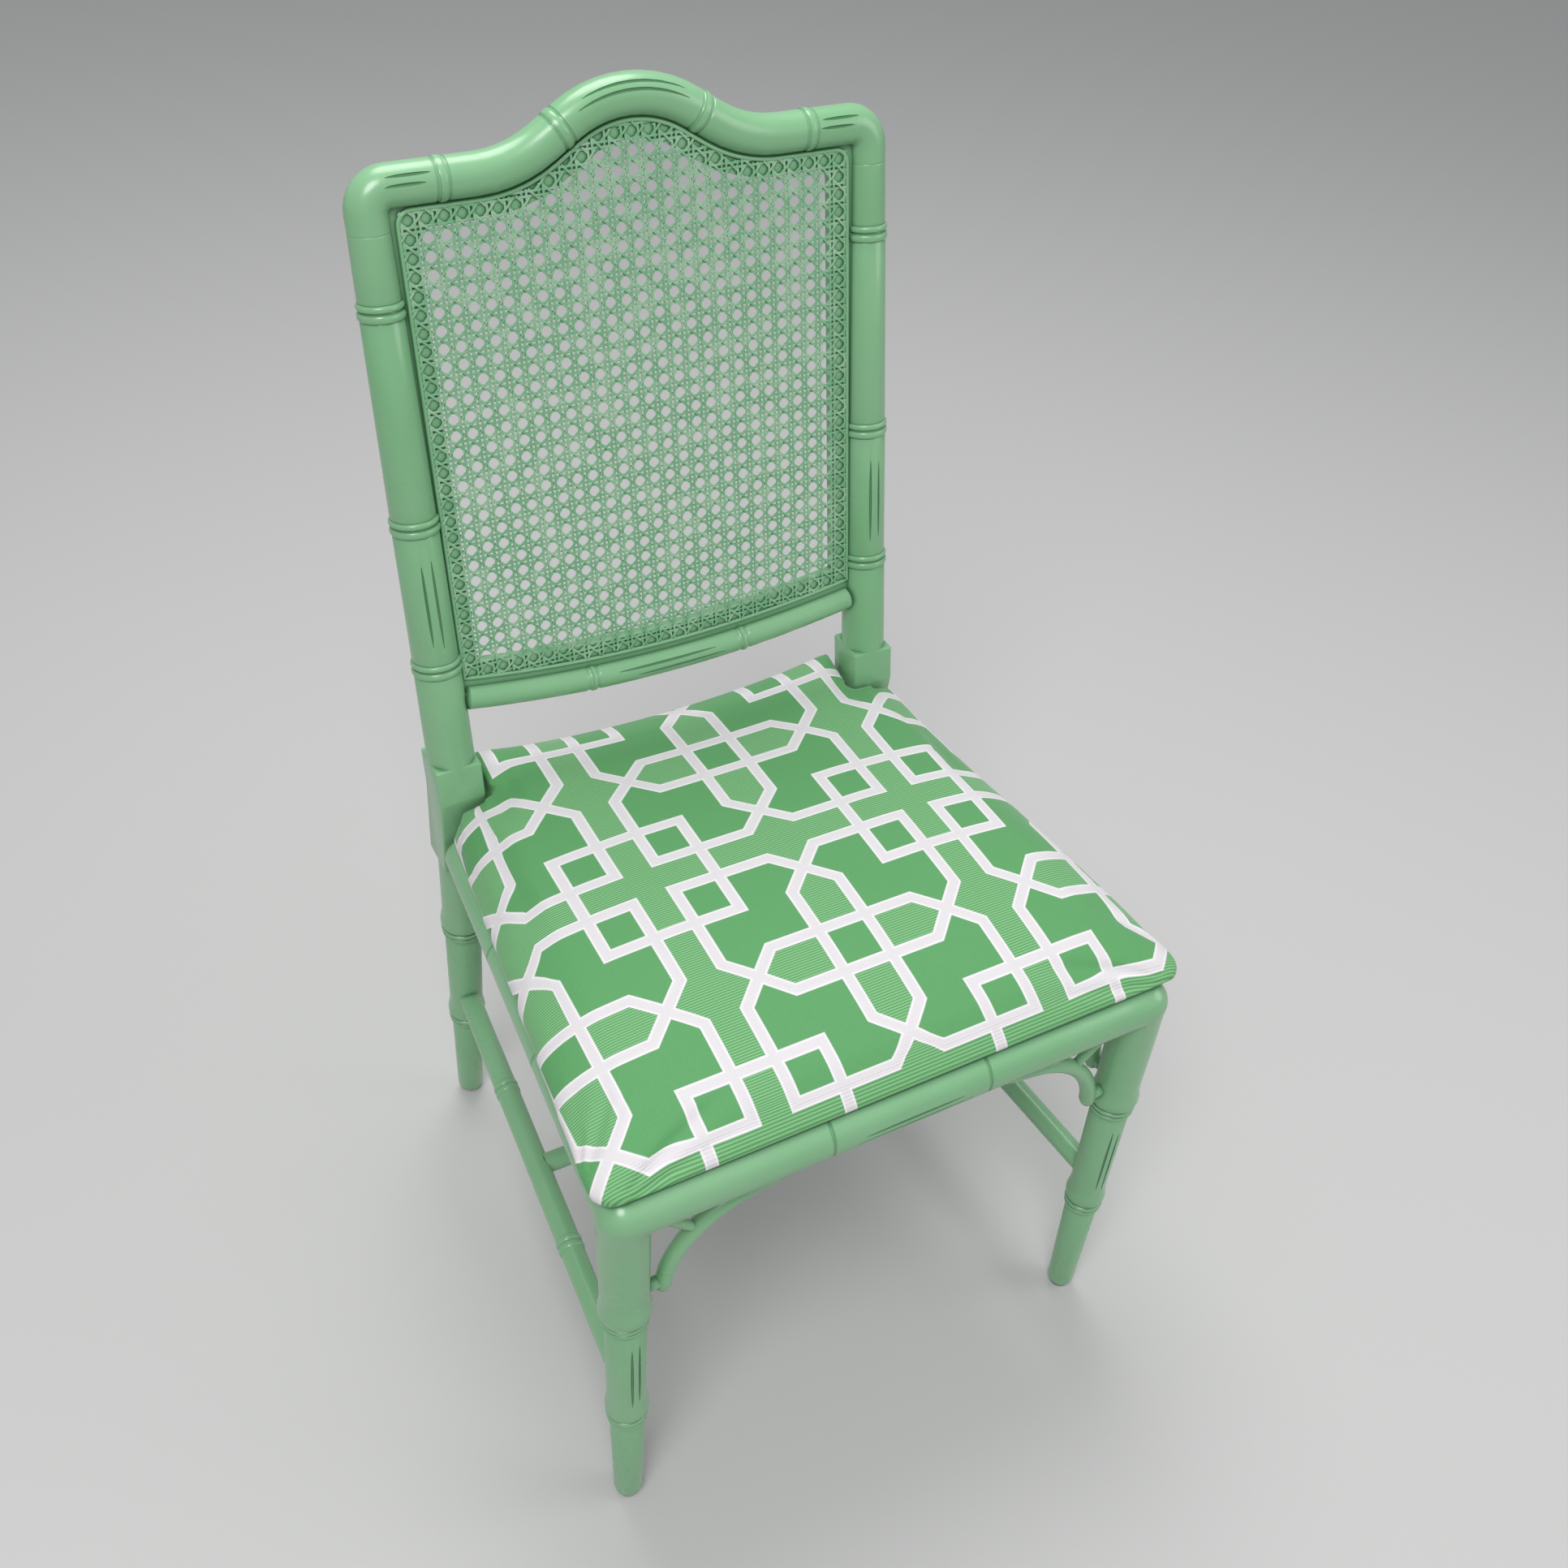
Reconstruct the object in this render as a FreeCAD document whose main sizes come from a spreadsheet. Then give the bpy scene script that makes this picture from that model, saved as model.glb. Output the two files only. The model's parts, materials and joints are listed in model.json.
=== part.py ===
"""Faux bamboo dining chair: turned frame, camel-back crest, caned back panel and upholstered seat."""
import FreeCAD, Part
import Sketcher
import math
import os

doc = FreeCAD.newDocument("faux_bamboo_chair")

# Driving sizes in millimetres and degrees
SIZES = {
    # plan and levels of the frame; heights near the seat are taken from the seat plane
    "front_half": 215, "rear_half": 188, "seat_depth": 385, "seat_plane": 402, "rail_drop": 18,
    "kink_rise": 38, "rake_angle": 8.93, "splay_angle": 7.6, "stretcher_height": 164, "cross_setback": 210,
    # seat rails
    "rail_radius": 19, "side_rail_radius": 18.5, "rail_inner": 10, "elbow_radius": 19.4,
    "stub_length": 26, "front_node": 64.5, "side_node_front": 140, "side_node_rear": 250,
    "node_groove": 1.6, "node_half": 3, "rear_rail_thick": 22, "rear_rail_depth": 40,
    # ring nodes on turned pieces
    "ring_half": 4, "bead_proud": 1.3,
    # front legs
    "glide_thick": 3, "tip_flat": 8.5, "tip_rise": 3.6, "ring_low": 127.8, "ring_high": 261.5,
    "front_foot": 11.6, "front_shin": 13.6, "front_ankle": 14.9, "front_calf": 15.8,
    "front_knee": 17.7, "front_thigh": 18.6,
    # rear legs and posts
    "rear_foot": 12, "rear_shin": 13.6, "rear_ankle": 14.9, "rear_calf": 15.8, "rear_knee": 17,
    "rear_thigh": 17.6, "block_half": 18.5, "block_rise": 30, "block_drop": 80,
    "post_base": 18.4, "post_low": 17.8, "post_mid": 16.9, "post_high": 15.1, "post_neck": 14.3,
    "post_ring_low": 112.9, "post_ring_mid": 227.7, "neck_length": 49.4, "joint_drop": 27.6,
    # crest rail
    "crest_radius": 14.25, "crest_shoulder": 458.6, "crest_rise": 38.2, "crest_elbow": 16,
    "hump_radius": 87, "valley_radius": 94, "slope_angle": 32, "crest_node_outer": 137,
    "crest_node_inner": 52,
    # lower back rail
    "low_radius": 10, "low_middle": 65.8, "low_end": 172, "low_bow": 1087, "low_forward": 4,
    "low_tip": 6, "low_tip_length": 7,
    # cane panel
    "land_forward": 3, "land_thick": 10, "land_width": 16, "spline_half": 1.7, "spline_deep": 3.5,
    "spline_proud": 0.8, "cane_half": 166, "cane_top": 18, "cane_bottom": 16.5, "cane_corner": 10,
    "cane_thick": 1.2, "cane_pitch": 32, "cane_hole": 20,
    # stretchers
    "stretcher_radius": 9.75, "stretcher_tenon": 11, "tenon_clear": 4, "stretcher_node_front": 128,
    "stretcher_node_rear": 296, "cross_radius": 8.7, "cross_tenon": 10,
    # brackets
    "brace_radius": 6.5, "brace_bend": 86, "brace_centre": 115, "brace_tail": 122, "brace_bed": 1,
    "brace_sweep": 86, "strut_radius": 4, "strut_near": 26, "strut_top": 22, "strut_far": 53,
    "strut_bottom": 50, "pearl_radius": 4.6, "pearl_drop": 99,
    # seat
    "seat_front": 4, "seat_front_half": 230, "seat_rear_half": 203, "notch_gap": 2, "seat_rear": 400,
    "seat_corner": 26, "rear_corner": 9, "cover_thick": 1, "board_gap": 8,
    "board_thick": 12, "fold_width": 35, "bulge_out": 8, "bulge_rise": 17, "roll_out": 6,
    "roll_rise": 33, "edge_in": 9, "edge_rise": 47, "dome_in": 36, "dome_rise": 54,
    "crown_in": 95, "crown_rise": 58,
    # corner blocks, loose tenons and glides
    "block_leg": 86, "block_height": 30, "tenon_thick": 8, "tenon_high": 20, "tenon_leg": 16,
    "tenon_rail": 24, "crest_tenon": 20, "crest_tenon_deep": 12, "low_tenon_thick": 5,
    "low_tenon_high": 9, "low_tenon_in": 12, "glide_radius": 9,
}

# Clear space used only for cutting away, far larger than the chair
ROOM = 2000

# Sides of the rounds: turned pieces, bent rails and slim bars
TURNED_SIDES = 24
RAIL_SIDES = 16
SLIM_SIDES = 12

# Steps of the rounds drawn as short flats, in degrees or as a count
BALL_TURNS = (0, 25, 50, 75)
FRONT_CORNER_TURNS = (22.5, 45, 67.5)
REAR_CORNER_TURN = 45
BRACE_STEPS = 8


class Size:
    """A length or ratio kept both as a number and as a spreadsheet expression."""

    def __init__(self, text, value):
        self.text = text
        self.value = value

    def __add__(self, other):
        return Size("(%s + %s)" % (self.text, text(other)), self.value + plain(other))

    def __radd__(self, other):
        return Size("(%s + %s)" % (text(other), self.text), plain(other) + self.value)

    def __sub__(self, other):
        return Size("(%s - %s)" % (self.text, text(other)), self.value - plain(other))

    def __rsub__(self, other):
        return Size("(%s - %s)" % (text(other), self.text), plain(other) - self.value)

    def __mul__(self, other):
        return Size("(%s * %s)" % (self.text, text(other)), self.value * plain(other))

    def __rmul__(self, other):
        return Size("(%s * %s)" % (text(other), self.text), plain(other) * self.value)

    def __truediv__(self, other):
        return Size("(%s / %s)" % (self.text, text(other)), self.value / plain(other))

    def __neg__(self):
        return Size("(0 - %s)" % self.text, -self.value)


def text(amount):
    """Expression text of a size or of a plain number."""
    return amount.text if isinstance(amount, Size) else "(%r)" % float(amount)


def plain(amount):
    """Number held by a size or a plain number."""
    return amount.value if isinstance(amount, Size) else float(amount)


def sine(angle):
    return Size("sin(%s * 1 deg)" % text(angle), math.sin(math.radians(plain(angle))))


def cosine(angle):
    return Size("cos(%s * 1 deg)" % text(angle), math.cos(math.radians(plain(angle))))


def slope_of(ratio):
    """Angle in degrees whose tangent is the ratio."""
    return Size("(atan(%s) / 1 deg)" % text(ratio), math.degrees(math.atan(plain(ratio))))


def arc_of(ratio):
    """Angle in degrees whose sine is the ratio."""
    return Size("(asin(%s) / 1 deg)" % text(ratio), math.degrees(math.asin(plain(ratio))))


def leg_of(long_side, short_side):
    """Remaining side of a right-angled triangle."""
    number = math.sqrt(plain(long_side) ** 2 - plain(short_side) ** 2)
    words = "sqrt(%s * %s - %s * %s)"
    return Size(words % (text(long_side), text(long_side), text(short_side), text(short_side)), number)


class Dims:
    """Sizes of the sheet by name."""


sheet = doc.addObject("Spreadsheet::Sheet", "dims")
d = Dims()
for row, (alias, amount) in enumerate(SIZES.items(), 1):
    sheet.set("A%d" % row, alias)
    sheet.set("B%d" % row, str(amount))
    sheet.setAlias("B%d" % row, alias)
    setattr(d, alias, Size("dims.%s" % alias, float(amount)))
doc.recompute()

parts = {}


def node(name, thing):
    """Register a finished sub-part under its node name."""
    thing.Label = name
    parts[name] = thing
    return thing


def bind(thing, path, amount):
    """Set a property and tie it to the sheet."""
    setattr(thing, path, plain(amount))
    if isinstance(amount, Size):
        thing.setExpression(path, amount.text)


def place(thing, x=0, y=0, z=0, axis=(0, 0, 1), angle=0):
    """Place an object, with its base and turning angle tied to the sheet."""
    turn = FreeCAD.Rotation(FreeCAD.Vector(*axis), plain(angle))
    thing.Placement = FreeCAD.Placement(FreeCAD.Vector(plain(x), plain(y), plain(z)), turn)
    for letter, amount in (("x", x), ("y", y), ("z", z)):
        if isinstance(amount, Size):
            thing.setExpression("Placement.Base." + letter, amount.text)
    if isinstance(angle, Size):
        thing.setExpression("Placement.Rotation.Angle", angle.text)
    return thing


def arc_centre(start, end, radius, bend):
    """Centre of the arc shorter than a half circle; bend is 1 for anticlockwise."""
    ax, ay = start
    bx, by = end
    chord = math.hypot(bx - ax, by - ay)
    rise = math.sqrt(max(radius * radius - chord * chord / 4, 0))
    middle_x = (ax + bx) / 2
    middle_y = (ay + by) / 2
    return middle_x - bend * rise * (by - ay) / chord, middle_y + bend * rise * (bx - ax) / chord


def draw(sketch, points, closed=True):
    """Add one fully driven outline: (a, b) for a line to the point, (a, b, radius, bend) for an arc."""
    spots = [(plain(p[0]), plain(p[1])) for p in points]
    count = len(points)
    spans = range(count) if closed else range(count - 1)
    ends = []
    for i in spans:
        j = (i + 1) % count
        start = FreeCAD.Vector(spots[i][0], spots[i][1], 0)
        end = FreeCAD.Vector(spots[j][0], spots[j][1], 0)
        if len(points[j]) == 2:
            index = sketch.addGeometry(Part.LineSegment(start, end), False)
            ends.append((index, 1, 2))
            continue
        radius = plain(points[j][2])
        bend = points[j][3]
        cx, cy = arc_centre(spots[i], spots[j], radius, bend)
        first = math.atan2(start.y - cy, start.x - cx)
        last = math.atan2(end.y - cy, end.x - cx)
        if bend < 0:
            first, last = last, first
        if last < first:
            last += 2 * math.pi
        circle = Part.Circle(FreeCAD.Vector(cx, cy, 0), FreeCAD.Vector(0, 0, 1), radius)
        index = sketch.addGeometry(Part.ArcOfCircle(circle, first, last), False)
        ends.append((index, 1, 2) if bend > 0 else (index, 2, 1))
        tie(sketch, ("Radius", index), points[j][2])
    for i in spans:
        if closed or i > 0:
            before = ends[i - 1]
            here = ends[i]
            sketch.addConstraint(Sketcher.Constraint("Coincident", before[0], before[2], here[0], here[1]))
        pin(sketch, ends[i][0], ends[i][1], points[i])
    if not closed:
        pin(sketch, ends[-1][0], ends[-1][2], points[-1])


def tie(sketch, where, amount):
    """Add one dimension bound to the sheet."""
    index = sketch.addConstraint(Sketcher.Constraint(*where, plain(amount)))
    if isinstance(amount, Size):
        sketch.setExpression("Constraints[%d]" % index, amount.text)


def pin(sketch, geometry, end, point):
    """Hold one end at its coordinates."""
    for word, axis, amount in (("DistanceX", -2, point[0]), ("DistanceY", -1, point[1])):
        if plain(amount) == 0:
            sketch.addConstraint(Sketcher.Constraint("PointOnObject", geometry, end, axis))
        else:
            tie(sketch, (word, -1, 1, geometry, end), amount)


def origin_plane(body, role):
    return [f for f in body.Origin.OriginFeatures if f.Role == role][0]


def new_body(name):
    return doc.addObject("PartDesign::Body", name + "_body")


def new_sketch(body, role, lift=0):
    """Sketch on one of the body's own origin planes, lifted along the plane's normal."""
    sketch = body.newObject("Sketcher::SketchObject", body.Name + "_sketch")
    sketch.AttachmentSupport = [(origin_plane(body, role), "")]
    sketch.MapMode = "FlatFace"
    if isinstance(lift, Size) or lift:
        sketch.AttachmentOffset = FreeCAD.Placement(FreeCAD.Vector(0, 0, plain(lift)), FreeCAD.Rotation())
        if isinstance(lift, Size):
            sketch.setExpression("AttachmentOffset.Base.z", lift.text)
    return sketch


AXES = {"X": ((0, 1, 0), 90), "Y": ((1, 0, 0), -90), "Z": ((0, 0, 1), 0)}


def lofted(name, sections):
    """Straight-sided solid through closed outlines."""
    loft = doc.addObject("Part::Loft", name)
    loft.Sections = sections
    loft.Solid = True
    loft.Ruled = True
    loft.Linearize = True
    return loft


def round_outline(name, radius, sides):
    """Many-sided outline of a round bar."""
    outline = doc.addObject("Part::RegularPolygon", name)
    outline.Polygon = sides
    bind(outline, "Circumradius", radius)
    return outline


def turned(name, along, points, sides=TURNED_SIDES):
    """Turned piece along the X, Y or Z axis through (radius, station) points."""
    axis, angle = AXES[along]
    sections = []
    for step, (radius, station) in enumerate(points):
        outline = round_outline("%s_turn_%d" % (name, step), radius, sides)
        spot = [station if letter == along else 0 for letter in AXES]
        sections.append(place(outline, *spot, axis, angle))
    return lofted(name, sections)


def turned_aslant(name, start, tilt, points, sides=TURNED_SIDES):
    """Turned piece from a point of the XZ plane along a line tilted from Z towards X."""
    stations = []
    for radius, station in points:
        stations.append((radius, start[0] + station * sine(tilt), start[1] + station * cosine(tilt), tilt))
    return curved(name, stations, sides)


def curved(name, stations, sides):
    """Round piece through (radius, x, z, tilt) stations of the XZ plane."""
    sections = []
    for step, (radius, x, z, tilt) in enumerate(stations):
        outline = round_outline("%s_turn_%d" % (name, step), radius, sides)
        sections.append(place(outline, x, 0, z, (0, 1, 0), tilt))
    return lofted(name, sections)


def axle(sketch, start, end):
    """Driven construction line to turn about."""
    spots = [FreeCAD.Vector(plain(p[0]), plain(p[1]), 0) for p in (start, end)]
    index = sketch.addGeometry(Part.LineSegment(*spots), True)
    pin(sketch, index, 1, start)
    pin(sketch, index, 2, end)


def padded(name, role, outlines, start, length, reverse=False):
    """Flat piece: outlines on an origin plane, lifted by start and extruded by length."""
    body = new_body(name)
    sketch = new_sketch(body, role, start)
    for outline in outlines:
        draw(sketch, outline)
    pad = body.newObject("PartDesign::Pad", body.Name + "_pad")
    pad.Profile = sketch
    bind(pad, "Length", length)
    pad.Reversed = reverse
    return body


def bent(name, path, radius, section_role, section_lift, section_at, sides):
    """Bar along a path of lines and tangent arcs in the body's XZ plane."""
    body = new_body(name)
    spine = new_sketch(body, "XZ_Plane")
    draw(spine, path, closed=False)
    section = new_sketch(body, section_role, section_lift)
    draw(section, facets(section_at, radius, sides))
    pipe = body.newObject("PartDesign::AdditivePipe", body.Name + "_pipe")
    pipe.Profile = section
    pipe.Spine = spine
    return body


def facets(centre, radius, sides):
    """Points of a many-sided outline for a sketch."""
    steps = [i * 360 / sides for i in range(sides)]
    return [(centre[0] + radius * cosine(step), centre[1] + radius * sine(step)) for step in steps]


def cut(name, base, tools):
    """Base less the tools."""
    result = doc.addObject("Part::Cut", name)
    result.Base = base
    result.Tool = tools[0] if len(tools) == 1 else group(name + "_tools", tools)
    return result


def group(name, things):
    result = doc.addObject("Part::Compound", name)
    result.Links = things
    return result


def joined(name, things):
    result = doc.addObject("Part::MultiFuse", name)
    result.Shapes = things
    return result


def mirrored(name, thing):
    """Twin across the middle plane of the chair."""
    result = doc.addObject("Part::Mirroring", name)
    result.Source = thing
    result.Normal = FreeCAD.Vector(1, 0, 0)
    result.Base = FreeCAD.Vector(0, 0, 0)
    return result


def pair(name, thing):
    """A left piece and its mirrored twin as one shape for cutting."""
    return group(name, [thing, mirrored(name + "_twin", thing)])


def box(name, length, width, height, x, y, z, axis=(0, 0, 1), angle=0):
    result = doc.addObject("Part::Box", name)
    bind(result, "Length", length)
    bind(result, "Width", width)
    bind(result, "Height", height)
    return place(result, x, y, z, axis, angle)


def ring(at, lower, upper, wider):
    """Bamboo node: a raised bead between two segments, listed upwards; wider is the thicker segment."""
    return [(lower, at - d.ring_half), (wider + d.bead_proud, at), (upper, at + d.ring_half)]


def notch(at, radius):
    """Grooved node of a plain round bar, listed along the bar."""
    return [
        (radius, at - d.node_half), (radius - d.node_groove, at), (radius, at + d.node_half),
    ]


# Shared stations: the origin lies under the middle of the overall box
apex = d.crest_shoulder + d.crest_rise
reach = d.seat_depth + apex * sine(d.rake_angle) + d.crest_radius * cosine(d.rake_angle)
front_y = -(reach - d.elbow_radius) / 2
kink_y = front_y + d.seat_depth
kink_height = d.seat_plane + d.kink_rise
rail_height = d.seat_plane - d.rail_drop
block_top = kink_height + d.block_rise
block_bottom = kink_height - d.block_drop
post_joint = d.crest_shoulder - d.joint_drop
left_front = -d.front_half
left_rear = -d.rear_half
rail_skew = slope_of((d.front_half - d.rear_half) / d.seat_depth)
rail_span = d.seat_depth / cosine(rail_skew)
DOWNWARD = (0, 0, -1)
BACKWARD = (-1, 0, 0)


def back_point(forward, up):
    """Chair y and z of a point of the back, forward of the post axis and up along it."""
    y = kink_y - forward * cosine(d.rake_angle) + up * sine(d.rake_angle)
    z = kink_height + forward * sine(d.rake_angle) + up * cosine(d.rake_angle)
    return y, z


def lean(thing, x=0):
    """Place a piece drawn in the plane of the back."""
    return place(thing, x, kink_y, kink_height, BACKWARD, d.rake_angle)


def along_rail(thing, z=0):
    """Place a piece drawn along the left side rail."""
    return place(thing, left_front, front_y, z, DOWNWARD, rail_skew)


# Left front leg: turned shaft, ball elbow and two stubs that run into the rails
ball_low = rail_height - leg_of(d.elbow_radius, d.front_thigh)
front_points = [(d.tip_flat, d.glide_thick), (d.front_foot, d.glide_thick + d.tip_rise)]
front_points += ring(d.ring_low, d.front_shin, d.front_ankle, d.front_ankle)
front_points += ring(d.ring_high, d.front_calf, d.front_knee, d.front_knee)
front_points += [(d.front_thigh, ball_low)]
for rise in BALL_TURNS:
    front_points.append((d.elbow_radius * cosine(rise), rail_height + d.elbow_radius * sine(rise)))
front_shaft = place(turned("front_shaft", "Z", front_points), left_front, front_y)
front_stub = turned("front_stub", "X", [(d.rail_radius, 0), (d.rail_radius, d.stub_length)])
place(front_stub, left_front, front_y, rail_height)
side_stub = turned("side_stub", "Y", [(d.side_rail_radius, 0), (d.side_rail_radius, d.stub_length)])
along_rail(side_stub, rail_height)
above_seat = box("above_seat", ROOM, ROOM, ROOM, -ROOM / 2, -ROOM / 2, d.seat_plane)
front_whole = joined("front_whole", [front_shaft, front_stub, side_stub])
front_blank = cut("front_blank", front_whole, [above_seat])

# Left rear leg: splayed foot, square block at the seat and raked post in one piece
foot_length = (kink_height - d.glide_thick) / cosine(d.splay_angle)


def down(level):
    """Station on the splayed leg at a height above the floor."""
    return -(kink_height - level) / cosine(d.splay_angle)


rear_points = [(d.tip_flat, -foot_length), (d.rear_foot, d.tip_rise - foot_length)]
rear_points += ring(down(d.ring_low), d.rear_shin, d.rear_ankle, d.rear_ankle)
rear_points += ring(down(d.ring_high), d.rear_calf, d.rear_knee, d.rear_knee)
rear_points += [(d.rear_thigh, down(rail_height))]
rear_foot = turned("rear_lower", "Z", rear_points)
place(rear_foot, left_rear, kink_y, kink_height, (1, 0, 0), d.splay_angle)
post_points = [(d.post_base, d.block_rise / 2)]
post_points += ring(d.post_ring_low, d.post_low, d.post_low, d.post_low)
post_points += ring(d.post_ring_mid, d.post_mid, d.post_mid, d.post_mid)
post_points += ring(post_joint - d.neck_length, d.post_high, d.post_high, d.post_high)
post_points += [(d.post_neck, post_joint)]
post = lean(turned("post", "Z", post_points), left_rear)
upper_shift = d.block_rise * sine(d.rake_angle) / cosine(d.rake_angle)
lower_shift = d.block_drop * sine(d.splay_angle) / cosine(d.splay_angle)
block_outline = [
    (kink_y + lower_shift - d.block_half, block_bottom),
    (kink_y + lower_shift + d.block_half, block_bottom),
    (kink_y + d.block_half, kink_height),
    (kink_y + upper_shift + d.block_half, block_top),
    (kink_y + upper_shift - d.block_half, block_top),
    (kink_y - d.block_half, kink_height),
]
square_block = padded(
    "square_block", "YZ_Plane", [block_outline], left_rear - d.block_half, 2 * d.block_half)
under_foot = box("under_foot", ROOM, ROOM, ROOM, -ROOM / 2, -ROOM / 2, d.glide_thick - ROOM)
rear_whole = joined("rear_whole", [square_block, rear_foot, post])
rear_blank = cut("rear_blank", rear_whole, [under_foot])

# Crest rail: a bent round from post to post with a camel-back hump
rounds = d.hump_radius + d.valley_radius
straight = (d.crest_rise - rounds * (1 - cosine(d.slope_angle))) / sine(d.slope_angle)
hump_run = rounds * sine(d.slope_angle) + straight * cosine(d.slope_angle)


def crest_line(inset, corner, half):
    """Right-to-left line of the crest, inset towards the panel, with rounded outer corners."""
    level = d.crest_shoulder - inset
    valley = d.valley_radius + inset
    hump = d.hump_radius - inset
    dip_x = hump_run - valley * sine(d.slope_angle)
    dip_z = d.crest_shoulder + d.valley_radius - valley * cosine(d.slope_angle)
    top_x = hump * sine(d.slope_angle)
    top_z = apex - d.hump_radius + hump * cosine(d.slope_angle)
    return [
        (half, level - corner), (half - corner, level, corner, 1), (hump_run, level),
        (dip_x, dip_z, valley, -1), (top_x, top_z), (-top_x, top_z, hump, 1),
        (-dip_x, dip_z), (-hump_run, level, valley, -1), (corner - half, level),
        (-half, level - corner, corner, 1),
    ]


crest_path = [(d.rear_half, post_joint)] + crest_line(0, d.crest_elbow, d.rear_half)
crest_path += [(left_rear, post_joint)]
crest_bar = bent(
    "crest_bar", crest_path, d.crest_radius, "XY_Plane", post_joint, (d.rear_half, 0), RAIL_SIDES)
lean(crest_bar)
collar_points = ring(0, d.crest_radius, d.crest_radius, d.crest_radius)
slope = (cosine(d.slope_angle), sine(d.slope_angle))
node_level = apex - d.hump_radius * (1 - slope[0]) - d.crest_node_inner * slope[1] / slope[0]
node_level = node_level + d.hump_radius * slope[1] * slope[1] / slope[0]
left_collars = [
    turned_aslant("outer_collar", (-d.crest_node_outer, d.crest_shoulder), 90, collar_points, RAIL_SIDES),
    turned_aslant(
        "inner_collar", (-d.crest_node_inner, node_level), 90 - d.slope_angle, collar_points, RAIL_SIDES),
]
collars = []
for collar in left_collars:
    lean(collar)
    collars += [collar, mirrored(collar.Name + "_twin", collar)]
crest_whole = joined("crest_whole", [crest_bar] + collars)

# Lower back rail: a slim bowed round whose rounded ends lap on the posts
bow_centre = d.low_middle + d.low_bow
low_body = new_body("low_bow")
low_section = new_sketch(low_body, "YZ_Plane")
draw(low_section, facets((-d.low_forward, d.low_middle), d.low_radius, RAIL_SIDES))
axle(low_section, (-d.low_forward, bow_centre), (0, bow_centre))
low_turn = low_body.newObject("PartDesign::Revolution", "low_turn")
low_turn.Profile = low_section
low_turn.ReferenceAxis = (low_section, ["Axis0"])
low_turn.Midplane = True
low_sweep = arc_of(d.low_end / d.low_bow)
bind(low_turn, "Angle", 2 * low_sweep)
lean(low_body)
low_rise = bow_centre - leg_of(d.low_bow, d.low_end)
low_tip = turned_aslant(
    "low_tip", (-d.low_end, low_rise), low_sweep - 90,
    [(d.low_radius, 0), (d.low_tip, d.low_tip_length)], RAIL_SIDES)
low_y, low_z = back_point(d.low_forward, 0)
place(low_tip, 0, low_y, low_z, BACKWARD, d.rake_angle)
low_whole = joined("low_whole", [low_body, low_tip, mirrored("low_tip_twin", low_tip)])
rear_pair = pair("rear_pair", rear_blank)
low_blank = cut("low_blank", low_whole, [rear_pair])

# Land behind the cane, the spline in its groove, and the cane itself


def panel_loop(half, top_inset, low_inset, corner):
    """Closed outline of the panel, anticlockwise from the lower left corner."""
    low_radius = d.low_bow - low_inset
    low_z = bow_centre - leg_of(low_radius, half)
    return [(-half, low_z), (half, low_z, low_radius, 1)] + crest_line(top_inset, corner, half)


def spline_loop(offset):
    return panel_loop(d.cane_half - offset, d.cane_top + offset, d.cane_bottom + offset, d.cane_corner)


land_outer = panel_loop(d.rear_half, 0, 0, d.crest_elbow)
land_inner = spline_loop(d.land_width)
land_plate = padded(
    "land_plate", "XZ_Plane", [land_outer, land_inner], d.land_forward, d.land_thick, True)
lean(land_plate)
spline_plate = padded(
    "spline_plate", "XZ_Plane", [spline_loop(-d.spline_half), spline_loop(d.spline_half)],
    d.land_forward + d.spline_proud, d.spline_proud + d.spline_deep, True)
node("cane_spline", lean(spline_plate))
land_blank = cut("land_blank", land_plate, [rear_pair, crest_whole, low_blank, spline_plate])
split_high = d.crest_shoulder - d.cane_top - d.land_width
split_low = bow_centre - leg_of(d.low_bow - d.cane_bottom - d.land_width, d.cane_half - d.land_width)


def back_box(name, x, width, low, high):
    """Box in the plane of the back between two stations, deep enough to take the land."""
    y, z = back_point(d.land_thick, low)
    return box(name, width, 2 * d.land_thick, high - low, x, y, z, BACKWARD, d.rake_angle)


def land_member(name, region):
    result = doc.addObject("Part::Common", name + "_piece")
    result.Base = land_blank
    result.Tool = region
    return node(name, result)


land_member("panel_top_rail", back_box("top_region", left_rear, 2 * d.rear_half, split_high, apex))
land_member("panel_bottom_rail", back_box("low_region", left_rear, 2 * d.rear_half, 0, split_low))
left_stile = land_member("panel_stile_left", back_box(
    "left_region", left_rear, d.rear_half, split_low, split_high))
node("panel_stile_right", mirrored("right_stile", left_stile))


def wire_of(points):
    """Closed wire through lines and arcs, from the same points the sketches use."""
    edges = []
    for i, point in enumerate(points):
        before = points[i - 1]
        start = (plain(before[0]), plain(before[1]))
        end = (plain(point[0]), plain(point[1]))
        a = FreeCAD.Vector(start[0], 0, start[1])
        b = FreeCAD.Vector(end[0], 0, end[1])
        if len(point) == 2:
            edges.append(Part.makeLine(a, b))
            continue
        radius = plain(point[2])
        cx, cy = arc_centre(start, end, radius, point[3])
        middle = FreeCAD.Vector((a.x + b.x) / 2 - cx, 0, (a.z + b.z) / 2 - cy)
        middle.multiply(radius / middle.Length)
        edges.append(Part.Arc(a, FreeCAD.Vector(cx, 0, cy) + middle, b).toShape())
    return Part.Wire(Part.__sortEdges__(edges))


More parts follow.
